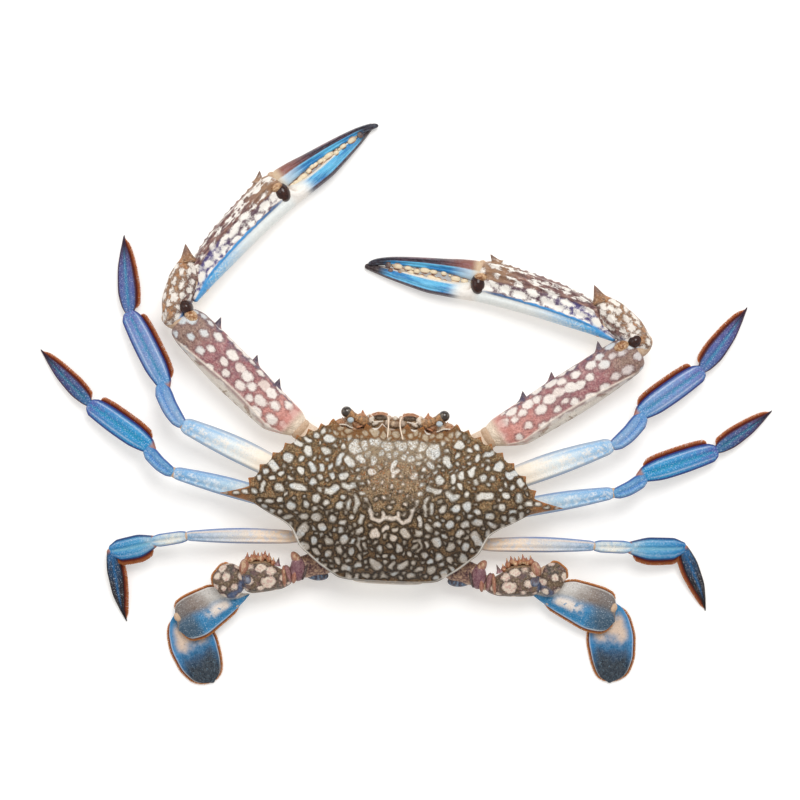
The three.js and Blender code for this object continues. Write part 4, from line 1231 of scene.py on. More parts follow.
# Ridges, and grooves with a height below 0, on the right half: points, half width and height.
SHELL_LINES = [
    ([(30, 24), (25, 13), (17, 5), (12.4, -1.5), (12, -6)], 1.5, -0.75),
    ([(12, -6), (10.2, -13), (12.6, -20), (17, -26)], 1.3, -0.6),
    ([(1.5, 13), (8, 17), (15, 20)], 0.6, -0.3),
    ([(0, -22), (9, -23.4), (18, -23)], 1.5, -0.35),
    ([(66, 0), (55, 4.6), (44, 8.2), (33, 9), (27, 6.4)], 1.1, 0.55),
    ([(3, 19.5), (12, 20.5), (19, 18)], 1.0, 0.3),
    ([(24, 24.6), (33, 20), (40, 18)], 1.0, 0.25),
]
RIM_HALF = 0.75
TEETH_START = 0.84
GROUND_HALF_GAP = 0.55
MARK_REACH, MARK_TRIES = 5, 9000
MARGIN_STEPS, FINE_STEPS = 4000, 12000
HALF_ROUND = 430
TOP_RINGS, EDGE_RINGS, UNDER_RINGS = 80, 4, 14


def margin_reach():
    """Directions from the shell's middle round its right half, front to back, with the smooth
    margin's distance and how far the teeth and the side spine stand past it."""
    line = along_path(np.array(MARGIN, float), np.linspace(0, 1, MARGIN_STEPS))
    angle = np.arctan2(line[:, 1] - MIDDLE_Y, line[:, 0])
    reach = np.hypot(line[:, 0], line[:, 1] - MIDDLE_Y)
    fine = np.linspace(np.pi / 2, -np.pi / 2, FINE_STEPS)
    base = np.interp(fine, angle[::-1], reach[::-1])
    extra = np.zeros_like(fine)

    def add_tooth(tip_x, tip_y, ahead, behind, power):
        tip_angle = np.arctan2(tip_y - MIDDLE_Y, tip_x)
        tip_reach = np.hypot(tip_x, tip_y - MIDDLE_Y)
        past = tip_reach - np.interp(-tip_angle, -fine, base)
        aside = (fine - tip_angle) * tip_reach
        share = np.where(aside > 0, 1 - aside / ahead, 1 + aside / behind)
        np.maximum(extra, past * np.clip(share, 0, 1) ** power, out=extra)

    for x, y, half_width in FRONT_TEETH:
        add_tooth(x, y, half_width, half_width, FRONT_TOOTH_POWER)
    for degrees in TOOTH_ANGLES:
        turn = radians(degrees)
        x, y = ARC_CENTRE[0] + TOOTH_TIP * np.cos(turn), ARC_CENTRE[1] + TOOTH_TIP * np.sin(turn)
        add_tooth(x, y, *SIDE_TOOTH)
    add_tooth(*SPINE_TIP, *SPINE_TOOTH)
    x, y = (base + extra) * np.cos(fine), MIDDLE_Y + (base + extra) * np.sin(fine)
    outer_steps = np.hypot(np.diff(x), np.diff(y))
    inner_steps = np.hypot(np.diff(base), base[1:] * np.diff(fine))
    # Corners are spread evenly along the toothed margin, with a share for the smooth one.
    walked = np.concatenate([[0], np.cumsum(outer_steps + 0.35 * inner_steps)])
    wanted = np.interp(np.linspace(0, walked[-1], HALF_ROUND + 1), walked, fine)
    return wanted, np.interp(-wanted, -fine, base), np.interp(-wanted, -fine, extra)


def rim_height(y):
    share = y / EDGE_REACH
    return RIM + np.where(share > 0, FRONT_LIFT, -REAR_DROP) * share * share


def shell_relief(x, y):
    """How much the top of the shell rises or dips from its plain dome."""
    x = np.abs(x)
    total = 0.12 * ripple(x, y, 9, 3) + 0.05 * ripple(x, y, 3.1, 5)
    for middle_x, middle_y, wide, long, high in SHELL_BUMPS:
        total = total + high * hump(x, middle_x, wide) * hump(y, middle_y, long)
    for points, half, high in SHELL_LINES:
        total = total + high * hump(line_distance(x, y, points), 0, half)
    return total


def shell_marks(x, y):
    """Distance to the nearest pale mark's edge, with a dark gap kept between marks, and that mark's
    own random number."""
    dice = np.random.default_rng(11)
    warp_x = x + 0.4 * ripple(x, y, 5.5, 1) + 0.25 * ripple(x, y, 2.3, 6)
    warp_y = y + 0.4 * ripple(x, y, 5.5, 2) + 0.25 * ripple(x, y, 2.3, 8)
    nearest, second, chance = np.full(len(x), NO_SPOT), np.full(len(x), NO_SPOT), np.zeros(len(x))

    def lay(lines, half, side):
        lines = [[(side * px, py) for px, py in points] for points in lines]
        reach = half + MARK_REACH
        xs, ys = zip(*[point for points in lines for point in points])
        near = np.flatnonzero(
            (warp_x > min(xs) - reach) & (warp_x < max(xs) + reach)
            & (warp_y > min(ys) - reach) & (warp_y < max(ys) + reach)
        )
        distances = [line_distance(warp_x[near], warp_y[near], points) for points in lines]
        edge = np.min(distances, axis=0) - half
        closer = edge < nearest[near]
        second[near] = np.where(closer, nearest[near], np.minimum(second[near], edge))
        chance[near] = np.where(closer, dice.uniform(), chance[near])
        nearest[near] = np.minimum(edge, nearest[near])

    laid = []

    def capsule(px, py, long, wide, degrees, side):
        turn, half = radians(degrees), max(long - wide, 0.05) / 2
        dx, dy = half * np.cos(turn), half * np.sin(turn)
        lay([[(px - dx, py - dy), (px + dx, py + dy)]], wide / 2, side)

    for px, py, long, wide, degrees in MARKS:
        laid.append((px, py, (long + wide) / 4))
        for side in (1, -1):
            drift = dice.uniform(-0.7, 0.7, 2)
            grown = dice.uniform(0.98, 1.14)
            capsule(px + drift[0], py + drift[1], long * grown, wide * grown, degrees, side)
    laid.extend((px, py, half) for points, half in WINDING_MARKS for px, py in points)
    for points, half in WINDING_MARKS:
        if points[0][0] > 4:
            lay([points], half, 1)
            lay([points], half, -1)
    middle_marks = [points for points, half in WINDING_MARKS if points[0][0] <= 4]
    rear_marks = [points for points in middle_marks if points[0][1] < 0]
    mirrored = [[(-px, 0.9 * py - 0.6) for px, py in points] for points in rear_marks]
    lay(rear_marks + mirrored, 1.05, 1)
    lay([points for points in middle_marks if points[0][1] > 0], 1.2, 1)
    # Smaller marks fill the room that is left, closest together at the back and scarce in the middle.
    margin = np.array(MARGIN, float)
    margin_turn = -np.arctan2(margin[:, 1] - MIDDLE_Y, margin[:, 0])
    margin_far = np.hypot(margin[:, 0], margin[:, 1] - MIDDLE_Y)
    laid += [(-px, py, size) for px, py, size in laid]
    for _ in range(MARK_TRIES):
        px, py = dice.uniform(-68, 68), dice.uniform(-35, 31)
        far = np.interp(-np.arctan2(py - MIDDLE_Y, abs(px)), margin_turn, margin_far)
        if hypot(px, py - MIDDLE_Y) > far - 1.0:
            continue
        middle = hypot(px / 11, (py - 7) / 13) < 1
        strip = py > 27
        radius = dice.uniform(0.6, 1.3) if middle else dice.uniform(0.9, 1.5 if strip else 2.1)
        if middle and dice.uniform() < 0.9:
            continue
        spare = min(hypot(px - ox, py - oy) - size for ox, oy, size in laid)
        radius = min(radius, spare - (0.45 if strip else 0.8 if py < -10 else 1.0))
        if radius < 0.6:
            continue
        laid.append((px, py, radius))
        capsule(px, py, 2 * radius * dice.uniform(1.0, 1.7), 2 * radius, dice.uniform(0, 180), 1)
    return np.maximum(nearest, GROUND_HALF_GAP - (second - nearest) / 2), chance


def carapace_mesh():
    angle, base, extra = margin_reach()
    total = TOP_RINGS + EDGE_RINGS + UNDER_RINGS

    def shape(u, v):
        # Each corner's ring, counted outwards over the top, the edge and back underneath.
        ring = np.round(u * total).astype(int)
        step = np.round(v * 2 * HALF_ROUND).astype(int)
        left = step > HALF_ROUND
        index = np.where(left, 2 * HALF_ROUND - step, step)
        side = np.where(left, -1, 1)
        turn, reach, past = angle[index], base[index], extra[index]
        top = np.clip(ring / TOP_RINGS, 0, 1)
        under = np.clip((ring - TOP_RINGS - EDGE_RINGS) / UNDER_RINGS, 0, 1)
        share = 1 - (1 - top) ** 1.3
        share = np.where(under > 0, 1 - 0.1 * smooth(0, 0.3, under), share)
        rolled = np.clip((ring - TOP_RINGS) / EDGE_RINGS, 0, 1)
        out = reach * share + past * smooth(TEETH_START, 1.0, share) ** 1.3
        out = out + 0.35 * np.sin(np.pi * rolled) * (past < 0.3)
        x, y = out * np.cos(turn), MIDDLE_Y + out * np.sin(turn)
        rim = rim_height(MIDDLE_Y + reach * np.sin(turn))
        slim = RIM_HALF * (1 - 0.72 * np.clip(past / 2.4, 0, 1) * smooth(0.9, 1, share))
        dome = (CROWN - rim - slim) * (1 - share**DOME_POWER)
        z_top = rim + slim + dome + shell_relief(x, y) * smooth(1.0, 0.93, share)
        z_top = z_top + hump(share, 0.985, 0.012) * smooth(-14, -24, y) * 0.45
        z_edge = rim + slim * np.cos(np.pi * rolled)
        z_under = rim - slim - 1.6 * smooth(0, 0.25, under)
        # The underside draws in to the skirt round the body and closes there.
        wide, long = np.cos(turn) / SKIRT_HALF_WIDTH, np.sin(turn) / SKIRT_HALF_LENGTH
        power = SKIRT_SQUARENESS
        skirt_reach = (np.abs(wide) ** power + np.abs(long) ** power) ** (-1 / power)
        inward = smooth(0.2, 0.82, under)
        closing = smooth(0.84, 1.0, under)
        x_skirt = skirt_reach * np.cos(turn) * (1 - closing)
        y_skirt = SKIRT_MIDDLE_Y + skirt_reach * np.sin(turn) * (1 - closing)
        z_under = blend(z_under, SKIRT_HEIGHT, inward) - 1.8 * np.sin(np.pi * inward)
        is_under, is_edge = under > 0, (rolled > 0) & (under == 0)
        x = np.where(is_under, blend(x, x_skirt, inward), x) * side
        y = np.where(is_under, blend(y, y_skirt, inward), y)
        z = np.where(is_under, z_under, np.where(is_edge, z_edge, z_top))
        # What the material reads: pale marks, brown teeth and spines, a pale rim and the eye hollows.
        edge, chance = shell_marks(x, y)
        toothy = np.clip((past - 0.7) / 1.5, 0, 1) * smooth(0.975, 1.0, share) * (past < 6)
        spiny = smooth(71, 76, np.abs(x)) * 0.6
        spine = smooth(60, 67, np.abs(x))
        pale_rim = hump(share, 0.993, 0.008) * smooth(-3, -12, y) * (under == 0)
        orbit = hump(share, 0.996, 0.009) * smooth(26, 29, y) * smooth(28, 25, np.abs(x)) * (under == 0)
        orbit = orbit * smooth(0.15, 0.6, ripple(x, y, 7, 9))
        place = (share, turn / np.pi, np.where(under > 0.12, -1, 1))
        mark = (np.maximum(toothy, spiny), spine, np.maximum(pale_rim, orbit * 0.9))
        return marked(stack(x, y, z), place, (x, y, z), mark, (edge, chance, 9))

    return grid_mesh(total, 2 * HALF_ROUND, shape)


# ---- The underside ----

# Rows of the breast: y, the half widths of the belly, the flank and the top.
THORAX = [
    [-32.5, 7, 11, 13], [-28, 13, 19, 21], [-18, 18, 26, 29.5], [-6, 20, 28.5, 32],
    [6, 19, 27.5, 31.5], [13, 15, 22, 27], [18, 8, 13, 19],
]
BREAST_SEAMS = [-25, -16.5, -7, 2, 9.5]
THORAX_FLOOR, THORAX_DEPTH, THORAX_MIDDLE = 0.3, 13.9, 7
# Rows of the folded abdomen: y, z, half width, thickness.
ABDOMEN = [
    [-31.5, 13, 10, 2.4], [-35.6, 10.5, 14.5, 2.6], [-36.8, 6, 15.5, 2.6], [-34, 1.6, 14.5, 2.6],
    [-27, 0.9, 12.5, 2.6], [-14, 0.9, 9, 2.6], [6, 0.9, 4.6, 2.6], [12, 0.9, 2, 2.4],
]


def thorax_mesh():
    first, last = THORAX[0][0], THORAX[-1][0]

    def shape(u, v):
        y = first + (last - first) * eased(u)
        belly, flank, top = along_rows(THORAX, y)
        close = rounded(np.minimum(y - first, last - y) / 2.5)
        turn = 1 - np.abs(2 * v - 1)
        side = np.where(v > 0.5, -1, 1)
        below, rise = np.clip(turn / 0.3, 0, 1), np.clip((turn - 0.3) / 0.5, 0, 1)
        above = np.clip((turn - 0.8) / 0.2, 0, 1)
        low_flare = belly + (flank - belly) * rise / 0.35
        high_flare = flank + (top - flank) * (rise - 0.35) / 0.65
        flare = np.where(rise < 0.35, low_flare, high_flare)
        x = flare * below * (1 - above) * side * close
        slant = y + np.abs(x) * 0.22
        seam = np.clip(sum(hump(slant, at, 0.55) for at in BREAST_SEAMS), 0, 1)
        z = THORAX_FLOOR + THORAX_DEPTH * rise + 0.6 * smooth(0.6, 1, below) * (rise < 0.01)
        z = z + seam * 0.5 * (rise < 0.3)
        z = THORAX_MIDDLE + (z - THORAX_MIDDLE) * (0.3 + 0.7 * close)
        place = (u, x / 30, np.where(rise > 0.5, 1, -1))
        return marked(stack(x, y, z), place, (x, y, z), (0, 0, seam * smooth(0.5, 0.1, rise)))

    return grid_mesh(90, 96, shape)


def abdomen_mesh():
    path = np.array([[0, row[0], row[1]] for row in ABDOMEN], float)
    widths = [[index / (len(ABDOMEN) - 1), row[2], row[3]] for index, row in enumerate(ABDOMEN)]

    def shape(u, v):
        way = path_way(path, u)
        normal = stack(0, -way[:, 2], way[:, 1])
        half, thick = along_rows(widths, u)
        close = rounded(np.minimum(u, 1 - u) / 0.02)
        across, up = oval(v * FULL, 2.8)
        seam = np.clip(sum(hump(u, at, 0.008) for at in (0.12, 0.25, 0.38, 0.5, 0.62, 0.76)), 0, 1)
        half = half * (1 - 0.05 * seam) * close
        above = up * (thick / 2 - 0.6 * seam) * close
        points = along_path(path, u) + stack(half * across, 0, 0) + normal * above[:, None]
        points[:, 2] = np.maximum(points[:, 2], 0.0)
        return marked(points, (u, across, up), points.T, (0, 0, seam))

    return grid_mesh(130, 44, shape)


# ---- The head ----


# Lumps and rims in front of the shell on the right half: centre or points, size, mark (tip, bite,
# line) and turn. The lumps with a bite mark are painted near black as shade in the hollows there.
BROW_LUMPS = [
    ((6.4, 36.4, 19.4), (6.2, 2.6, 3.4), (0, 0.9, 0), 0.05),
    ((24, 33, 20.4), (6.2, 4.4, 4), (0.5, 0, 0), -0.4),
    ((19.6, 30.6, 19.4), (13, 4.6, 5), (0.45, 0, 0), 0),
    ((20.4, 32.6, 20.6), (5, 3.6, 4), (0, 0, 0.3), 0.2),
    ((16.8, 33.4, 20.8), (5.4, 4.4, 4.4), (0.35, 0, 0), -0.1),
    ((13.2, 34.6, 20.4), (4.4, 4.6, 4), (0.1, 0, 0), 0.3),
    ((14.8, 36.6, 19.2), (4, 3, 3), (0.7, 0, 0), 0),
    ((10.6, 35.4, 20.6), (2.6, 3.8, 3), (0, 0, 0.9), 0.5),
    ((8.6, 33.8, 21), (3.4, 1.9, 2.4), (0, 0, 0.95), -0.5),
    ((11.8, 33.2, 20.6), (2, 2.8, 2.4), (0, 0.9, 0), 0.2),
    ((9.4, 36.8, 20.2), (1.8, 1.6, 2.2), (0, 1, 0), 0.2),
    ((3.4, 34.2, 20.6), (2.4, 3.2, 2.6), (0, 0, 0.5), 0.2),
    ((2.7, 36.4, 20.2), (2.2, 2.4, 2.4), (0.2, 0, 0.6), 0.4),
]
BROW_RIMS = [
    ([(10.6, 37.3, 20.2), (8.4, 38.1, 20.8), (5.8, 38.3, 20.9), (3.2, 37.9, 20.4)], 0.62, (0.95, 0, 0)),
    ([(10.4, 35.8, 21.4), (9.2, 34.4, 21.8), (7.2, 34.6, 21.8), (5.2, 34.9, 21.4)], 0.34, (0, 0, 1)),
    ([(12.4, 36.8, 21.2), (11.2, 37.6, 21.2), (10, 36.4, 21.6), (11, 34.8, 21.8)], 0.3, (0, 0, 1)),
    (
        [(25.6, 32.3, 23), (23.6, 32.6, 23.2), (21.4, 32.5, 23.2), (19.8, 31.7, 23), (18.4, 31.2, 23)],
        0.36, (0, 0, 1),
    ),
    ([(17, 31.4, 22.8), (14.6, 32.4, 22.6), (12.8, 32.8, 22.2)], 0.45, (0.9, 0, 0)),
]


def ledge_meshes():
    ends = [(side * LEDGE_HALF, LEDGE_Y, LEDGE_HEIGHT) for side in (-1, 1)]
    where = frame_between(*ends, 1)
    rows = [
        [0, -0.5, 1.5, 1.5], [0.08, -2.6, 2.2, 3.6], [0.2, -3.4, 2.4, 4.6], [0.36, -3.2, 2.4, 5],
        [0.64, -3.2, 2.4, 5], [0.8, -3.4, 2.4, 4.6], [0.92, -2.6, 2.2, 3.6], [1, -0.5, 1.5, 1.5],
    ]

    def relief(x, across, up):
        front = smooth(0.5, 0.95, across)
        beads = 0.28 * np.sin(x * 150) * front
        return 0.3 * ripple(x * 46, across * 4, 2.4, 3), smooth(0.75, 0.95, across) * 0.6, 0, beads

    meshes = [shell(where, rows, relief, rings=150, sides=36)]
    for side in (-1, 1):
        meshes.append(spike(BODY, (side * 14.2, 35.4, 18.6), (side * 14.6, 39.6, 19.4), 4.6, 3.8))
        for count in range(5):
            x = side * (17 + count * 1.5)
            base, tip = (x, 36.1 - count * 0.35, 18.6), (x + side * 0.4, 38 - count * 0.5, 19)
            meshes.append(spike(BODY, base, tip, 1.5, 1.4))
        for (x, y, z), size, mark, turn in BROW_LUMPS:
            meshes.append(lump(BODY, (side * x, y, z), size, mark, side * turn, 2.2, 16))
        for points, radius, mark in BROW_RIMS:
            rim = [(side * x, y, z) for x, y, z in points]
            meshes.append(rope(rim, (radius, radius), 36, 8, 0.1, 1.1, mark))
    meshes.append(lump(BODY, (0, 36.4, 21), (1.9, 2.1, 2), (0, 0, 0.9)))
    meshes.append(lump(BODY, (0, 33.6, 20.6), (4.6, 3, 2.6), (0, 0, 0.2)))
    return meshes


def mouth_plate(side):
    where = frame_between((side * 5.5, 18, 2.9), (side * 5.5, 34.5, 16.4), side)
    rows = [
        [0, -2.2, 2.2, 2], [0.12, -3.9, 3.9, 3.2], [0.5, -4.9, 4.9, 3.6], [0.85, -4.6, 4.9, 3.4],
        [1, -2.8, 3.4, 2],
    ]

    def relief(x, across, up):
        seam = hump(x, 0.62, 0.012) + hump(x, 0.16, 0.01)
        groove = hump(across, -0.35, 0.06) * smooth(0.62, 0.55, x)
        low = np.where(up < 0, 1, 0)
        rise = low * (0.35 * np.clip(seam, 0, 1) + 0.25 * groove)
        return rise, np.clip(seam + groove, 0, 1) * 0.6, 0, 0

    palp = rope(
        [(side * 8.3, 32.6, 13.2), (side * 8.6, 30, 10.6), (side * 7.6, 26.4, 8.2), (side * 7, 24, 7)],
        (1.0, 0.6), 50, 12, 0.06, 2.4, (0, 0, 0.5),
    )
    return [shell(where, rows, relief, rings=70, sides=40), palp]


def eye_meshes(side):
    turn = radians(EYE_HEADING)
    start = np.array([side * EYE_ROOT[0], EYE_ROOT[1], EYE_ROOT[2]])
    end = start + np.array([side * EYE_LENGTH * np.cos(turn), EYE_LENGTH * np.sin(turn), EYE_RISE])
    where = frame_between(start, end, side)
    rows = [
        [0, -1.7, 1.7, 3.4], [0.3, -1.5, 1.5, 3.0], [0.54, -1.6, 1.6, 3.2], [0.7, -2.1, 2.1, 4.2],
        [0.84, -2.2, 2.2, 4.4],
    ]

    def relief(x, across, up):
        return 0.15 * hump(x, 0.62, 0.03), 0, 0, 0

    stalk = [shell(where, rows, relief, rings=40, sides=28)]
    stalk.append(lump(BODY, (side * 19.6, 34.8, 25.2), (2.9, 2.6, 2.2), (0, 1, 0), fine=16))
    return stalk, [lump(where, (0.81 * where.length, 0, 0), (5.0, 4.9, 4.9), fine=30)]


FEELER_PATHS = {
    "right": [(10.6, 37.2, 20.9), (6.4, 38, 22.6), (2.9, 36.8, 26.2), (2.3, 33.2, 29.4), (3.8, 27.2, 31.8)],
    "left": [(-10.6, 37.2, 20.9), (-6, 38, 22.6), (-3.2, 36.8, 26.2), (-2.8, 33.2, 29.4), (-3, 27.8, 32)],
}


def feeler_meshes(side_name):
    side = SIDES[side_name]
    meshes = [rope(FEELER_PATHS[side_name], (0.45, 0.3), 90, 10, 0.1, 0.7)]
    x, y, z = FEELER_PATHS[side_name][0]
    meshes.append(lump(BODY, (x, y - 0.6, z), (2.4, 2.0, 1.8), turn=0.6 * side))
    whisker = [(9.8, 37.4, 21.4), (8.4, 38.6, 22.2), (5.6, 38.9, 22.4), (3.4, 38.2, 22)]
    meshes.append(rope([(side * x, y, z) for x, y, z in whisker], (0.22, 0.12), 40, 6))
    return meshes


# ---- The limbs ----

# Spines: the base along and aside, then the tip along and aside. Along is a share of the length.
CLAW_SPINES = {
    "merus": [(0.285, 5.2, 0.315, 10.4), (0.485, 6, 0.52, 11.4), (0.82, 6.6, 0.85, 12.8)],
    "carpus": [(1.3, -5.4, 1.73, -9)],
    "wrist": [(1.0, -0.5, 1.27, 3.6)],
    "palm": [(0.9, -8.6, 0.985, -12.4)],
}
# Teeth of the fixed and the moving finger: along and aside.
FIXED_TEETH = {
    "right": [
        (1.10, 4.9), (1.17, 5.8), (1.25, 6.5), (1.30, 6.6), (1.355, 6.6), (1.43, 7.9), (1.525, 7.1),
        (1.6, 8.1), (1.675, 9.6),
    ],
    "left": [
        (1.07, 3.2), (1.16, 4.2), (1.25, 4.2), (1.32, 4.6), (1.39, 5.6), (1.47, 6.5), (1.58, 6.8),
        (1.65, 8.7), (1.765, 9.5),
    ],
}
MOVING_TEETH = [
    (0.13, 1.1), (0.21, 0.4), (0.32, -1), (0.41, -1.2), (0.49, -1.1), (0.56, -0.5), (0.64, -1),
    (0.735, -1.4), (0.82, -1.2),
]
TOOTH_SIZES, TOOTH_HEIGHT = ((3.4, 2.6), (4.4, 3.3), (2.8, 2.9)), 1.0
# The palm's dark hinge and the dark and orange knobs of the merus: along and aside.
HINGES = {
    "right": {"palm": (0.997, 2.2), "dark": (1.037, 4.4), "orange": (0.961, 5.2)},
    "left": {"palm": (0.973, 2.0), "dark": (1.052, 5.5), "orange": (0.999, 4.2)},
}


def ridges(across, *rows):
    """Ridges along a segment: each row gives its place across, its height and its half width."""
    return sum(high * hump(across, at, half) for at, high, half in rows)


def claw_merus_relief(x, across, up):
    top = top_only(up)
    crest = -1 + 0.46 * np.sin(np.pi * np.clip(x, 0, 1))
    keel = hump(across, crest, 0.05)
    beyond = smooth(crest, crest - 0.25, across)
    grains = 0.16 * ripple(x * 70, across * 8, 4.0, 2) + 0.08 * ripple(x * 70, across * 8, 1.7, 5)
    near = between(x, 0.0, 0.12, 0.9, 1.02)
    collar = hump(x, 0.955, 0.012) * 0.5 + hump(x, 0.07, 0.015) * 0.5 - hump(x, 0.12, 0.02) * 0.5
    rise = top * (near * (0.55 * keel - 1.0 * beyond) + grains + collar)
    return rise, keel * near * top, beyond * near * top, 0


def claw_carpus_relief(x, across, up):
    top = top_only(up)
    rise = ridges(across, (-0.45, 0.8, 0.1), (0.25, 0.7, 0.1), (0.8, 0.4, 0.1), (-0.9, 0.4, 0.08))
    grains = 0.2 * ripple(x * 19, across * 7, 3.4, 4) + 0.12 * ripple(x * 19, across * 7, 1.5, 6)
    near = between(x, -0.1, 0.15, 1.05, 1.35)
    beads = 0.3 * np.maximum(np.sin(x * 26), 0) * hump(across, -0.45, 0.12)
    return top * (near * (rise - 0.35) + grains + beads), 0, 0, 0


def palm_relief(x, across, up):
    top = top_only(up)
    body = between(x, 0.02, 0.14, 0.94, 1.04)
    rise = ridges(across, (-0.8, 0.75, 0.07), (-0.42, 0.7, 0.055), (-0.02, 0.6, 0.05), (0.45, 0.75, 0.045))
    valley = ridges(across, (-0.61, 0.45, 0.09), (-0.22, 0.5, 0.1), (0.22, 0.5, 0.12), (0.62, 0.35, 0.09))
    bead_row = np.maximum(np.sin(x * 95), 0)
    beads = bead_row * (hump(across, -0.8, 0.06) * 0.35 + hump(across, -0.42, 0.05) * 0.25)
    fine_beads = 0.16 * np.sin(x * 170) * (hump(across, 0.45, 0.05) + hump(across, -0.02, 0.05))
    outer = -0.45 * bead_row * smooth(-0.86, -0.99, across)
    finger = smooth(1.08, 1.25, x)
    form = ridges(across, (-0.45, -0.55, 0.16), (0.0, 0.35, 0.14), (0.45, -0.5, 0.14), (0.8, 0.25, 0.12))
    grains = 0.07 * ripple(x * 57, across * 8, 2.4, 7)
    rise = top * (body * (rise - valley + beads + fine_beads) + finger * form + grains)
    return rise, 0, smooth(-0.9, -1, across) * smooth(1.12, 1.2, x), body * outer


def finger_relief(x, across, up):
    top = top_only(up)
    body = between(x, 0.06, 0.2, 0.85, 1.0)
    form = ridges(across, (-0.62, 0.3, 0.12), (-0.3, -0.5, 0.13), (0.1, 0.45, 0.14), (0.5, -0.45, 0.14))
    base = 0.5 * hump(x, 0.03, 0.03)
    pits = -0.12 * np.maximum(np.sin(x * 60), 0) * hump(across, -0.3, 0.08)
    return top * (body * (form + pits) + base), 0, smooth(0.88, 1, across) * smooth(0.05, 0.12, x) * 0.7, 0


def merus_relief(x, across, up):
    top = top_only(up)
    near = between(x, 0.02, 0.15, 0.92, 1.0)
    form = ridges(across, (-0.72, 0.3, 0.1), (-0.4, -0.3, 0.16), (0.1, 0.3, 0.25), (0.62, -0.22, 0.14))
    collar = hump(x, 0.965, 0.014) * 0.4 - hump(x, 0.93, 0.015) * 0.25
    wave = 0.08 * ripple(x * 60, across * 5, 7, 3)
    streak = hump(across, 0.62, 0.12) * smooth(0.4, 0.8, x) * top
    return top * (near * form + collar + wave), streak, 0, 0


def carpus_relief(x, across, up):
    top = top_only(up)
    near = between(x, 0.0, 0.2, 0.9, 1.05)
    form = ridges(across, (-0.6, 0.35, 0.14), (-0.15, -0.35, 0.18), (0.35, 0.4, 0.15), (0.75, -0.2, 0.1))
    return top * near * form, hump(across, -0.15, 0.16) * near * top, 0, 0


def propodus_relief(x, across, up):
    top = top_only(up)
    near = between(x, 0.02, 0.16, 0.9, 1.0)
    middle = ridges(across, (0, -0.75, 0.11), (-0.32, 0.35, 0.12), (0.34, 0.38, 0.12))
    form = middle + ridges(across, (-0.74, -0.3, 0.06), (0.78, -0.25, 0.08))
    groove = hump(across, 0, 0.1) * near * top
    pale = hump(np.abs(across - 0.04), 0.62, 0.055)
    return top * near * form, groove, pale * near * top, 0


def dactylus_relief(x, across, up):
    top = top_only(up)
    near = between(x, 0.02, 0.15, 0.85, 1.0)
    middle = ridges(across, (0, -0.45, 0.16), (-0.42, 0.25, 0.14), (0.42, 0.25, 0.14))
    form = middle + ridges(across, (0.8, -0.15, 0.08), (-0.8, -0.15, 0.08))
    return top * near * form, hump(across, 0, 0.2) * near * top, 0, 0


def swim_merus_relief(x, across, up):
    top = top_only(up)
    near = between(x, 0.0, 0.15, 0.9, 1.04)
    form = ridges(across, (-0.75, 0.4, 0.1), (-0.45, -0.25, 0.14), (0.75, -0.3, 0.1))
    bumps = 0.2 * ripple(x * 24, across * 8, 5, 4)
    collar = hump(x, 0.96, 0.03) * 0.5 - hump(x, 0.86, 0.03) * 0.3
    rim = smooth(0.84, 0.95, across) * top * smooth(0.1, 0.3, x)
    return top * (near * form + bumps + collar), smooth(0.93, 1.0, x) * top, rim, 0


def swim_carpus_relief(x, across, up):
    top = top_only(up)
    near = between(x, -0.2, 0.1, 1.0, 1.3)
    form = ridges(across, (0.1, 0.5, 0.3), (-0.55, -0.3, 0.12))
    blue = smooth(-0.4, -0.65, across) * top
    return top * (near * form + 0.12 * ripple(x * 9, across * 7, 4, 2)), blue, 0, 0


def blade_relief(x, across, up):
    top = top_only(up)
    edge = hump(np.abs(across), 0.95, 0.028)
    near = between(x, -0.2, 0.1, 0.95, 1.1)
    form = ridges(across, (0.1, -0.35, 0.2), (-0.35, 0.4, 0.2), (0.5, 0.35, 0.18), (-0.8, -0.25, 0.08))
    return top * (near * form + 0.2 * edge), edge * near * top * 0.8, hump(across, 0.1, 0.1) * near * top, 0


def paddle_relief(x, across, up):
    top = top_only(up)
    edge = hump(np.abs(across), 0.96, 0.025)
    near = between(x, 0.0, 0.1, 0.9, 1.0)
    fan = np.sin(across * 26 + 2 * x) * 0.09
    keel = hump(across, 0.05, 0.12) * 0.3
    return top * (near * (fan + keel) + 0.16 * edge), edge * near * top * 0.7, keel * near * top, 0


def coxa_relief(x, across, up):
    collar = hump(x, 0.2, 0.06) * 0.5 + hump(x, 0.7, 0.07) * 0.5 - hump(x, 0.45, 0.08) * 0.4
    return collar * np.sign(up), 0, 0, 0


def claw_spine(where, base_along, base_aside, tip_along, tip_aside, high=0.5, width=6.4, mark=(0.8, 0, 0)):
    base = (base_along * where.length, base_aside, high)
    tip = (tip_along * where.length, tip_aside, high + 0.6)
    return spike(where, base, tip, width, 0.8 * width, mark=mark)


def tooth_row(where, places, toward):
    """Rounded molar teeth along the biting edge of a finger; toward is 1 or -1 across it."""
    made = []
    for index, (along, aside) in enumerate(places):
        long, wide = TOOTH_SIZES[index % 3]
        centre = (along * where.length, aside + toward * (0.35 + 0.25 * (index % 2)), TOOTH_HEIGHT)
        made.append(lump(where, centre, (long, wide, 2.8), (0, 1, 0), power=2.6, fine=14))
        if index % 2 and index + 1 < len(places):
            next_along, next_aside = places[index + 1]
            x, y = (along + next_along) / 2 * where.length, (aside + next_aside) / 2 + toward * 0.3
            made.append(lump(where, (x, y, TOOTH_HEIGHT), (1.5, 1.5, 1.9), (0, 1, 0), fine=8))
    return made


def joint_skin(where, size, aside=0.0, along=0.0, high=0.0):
    return lump(where, (along, aside, high), size, power=2.4, fine=16)


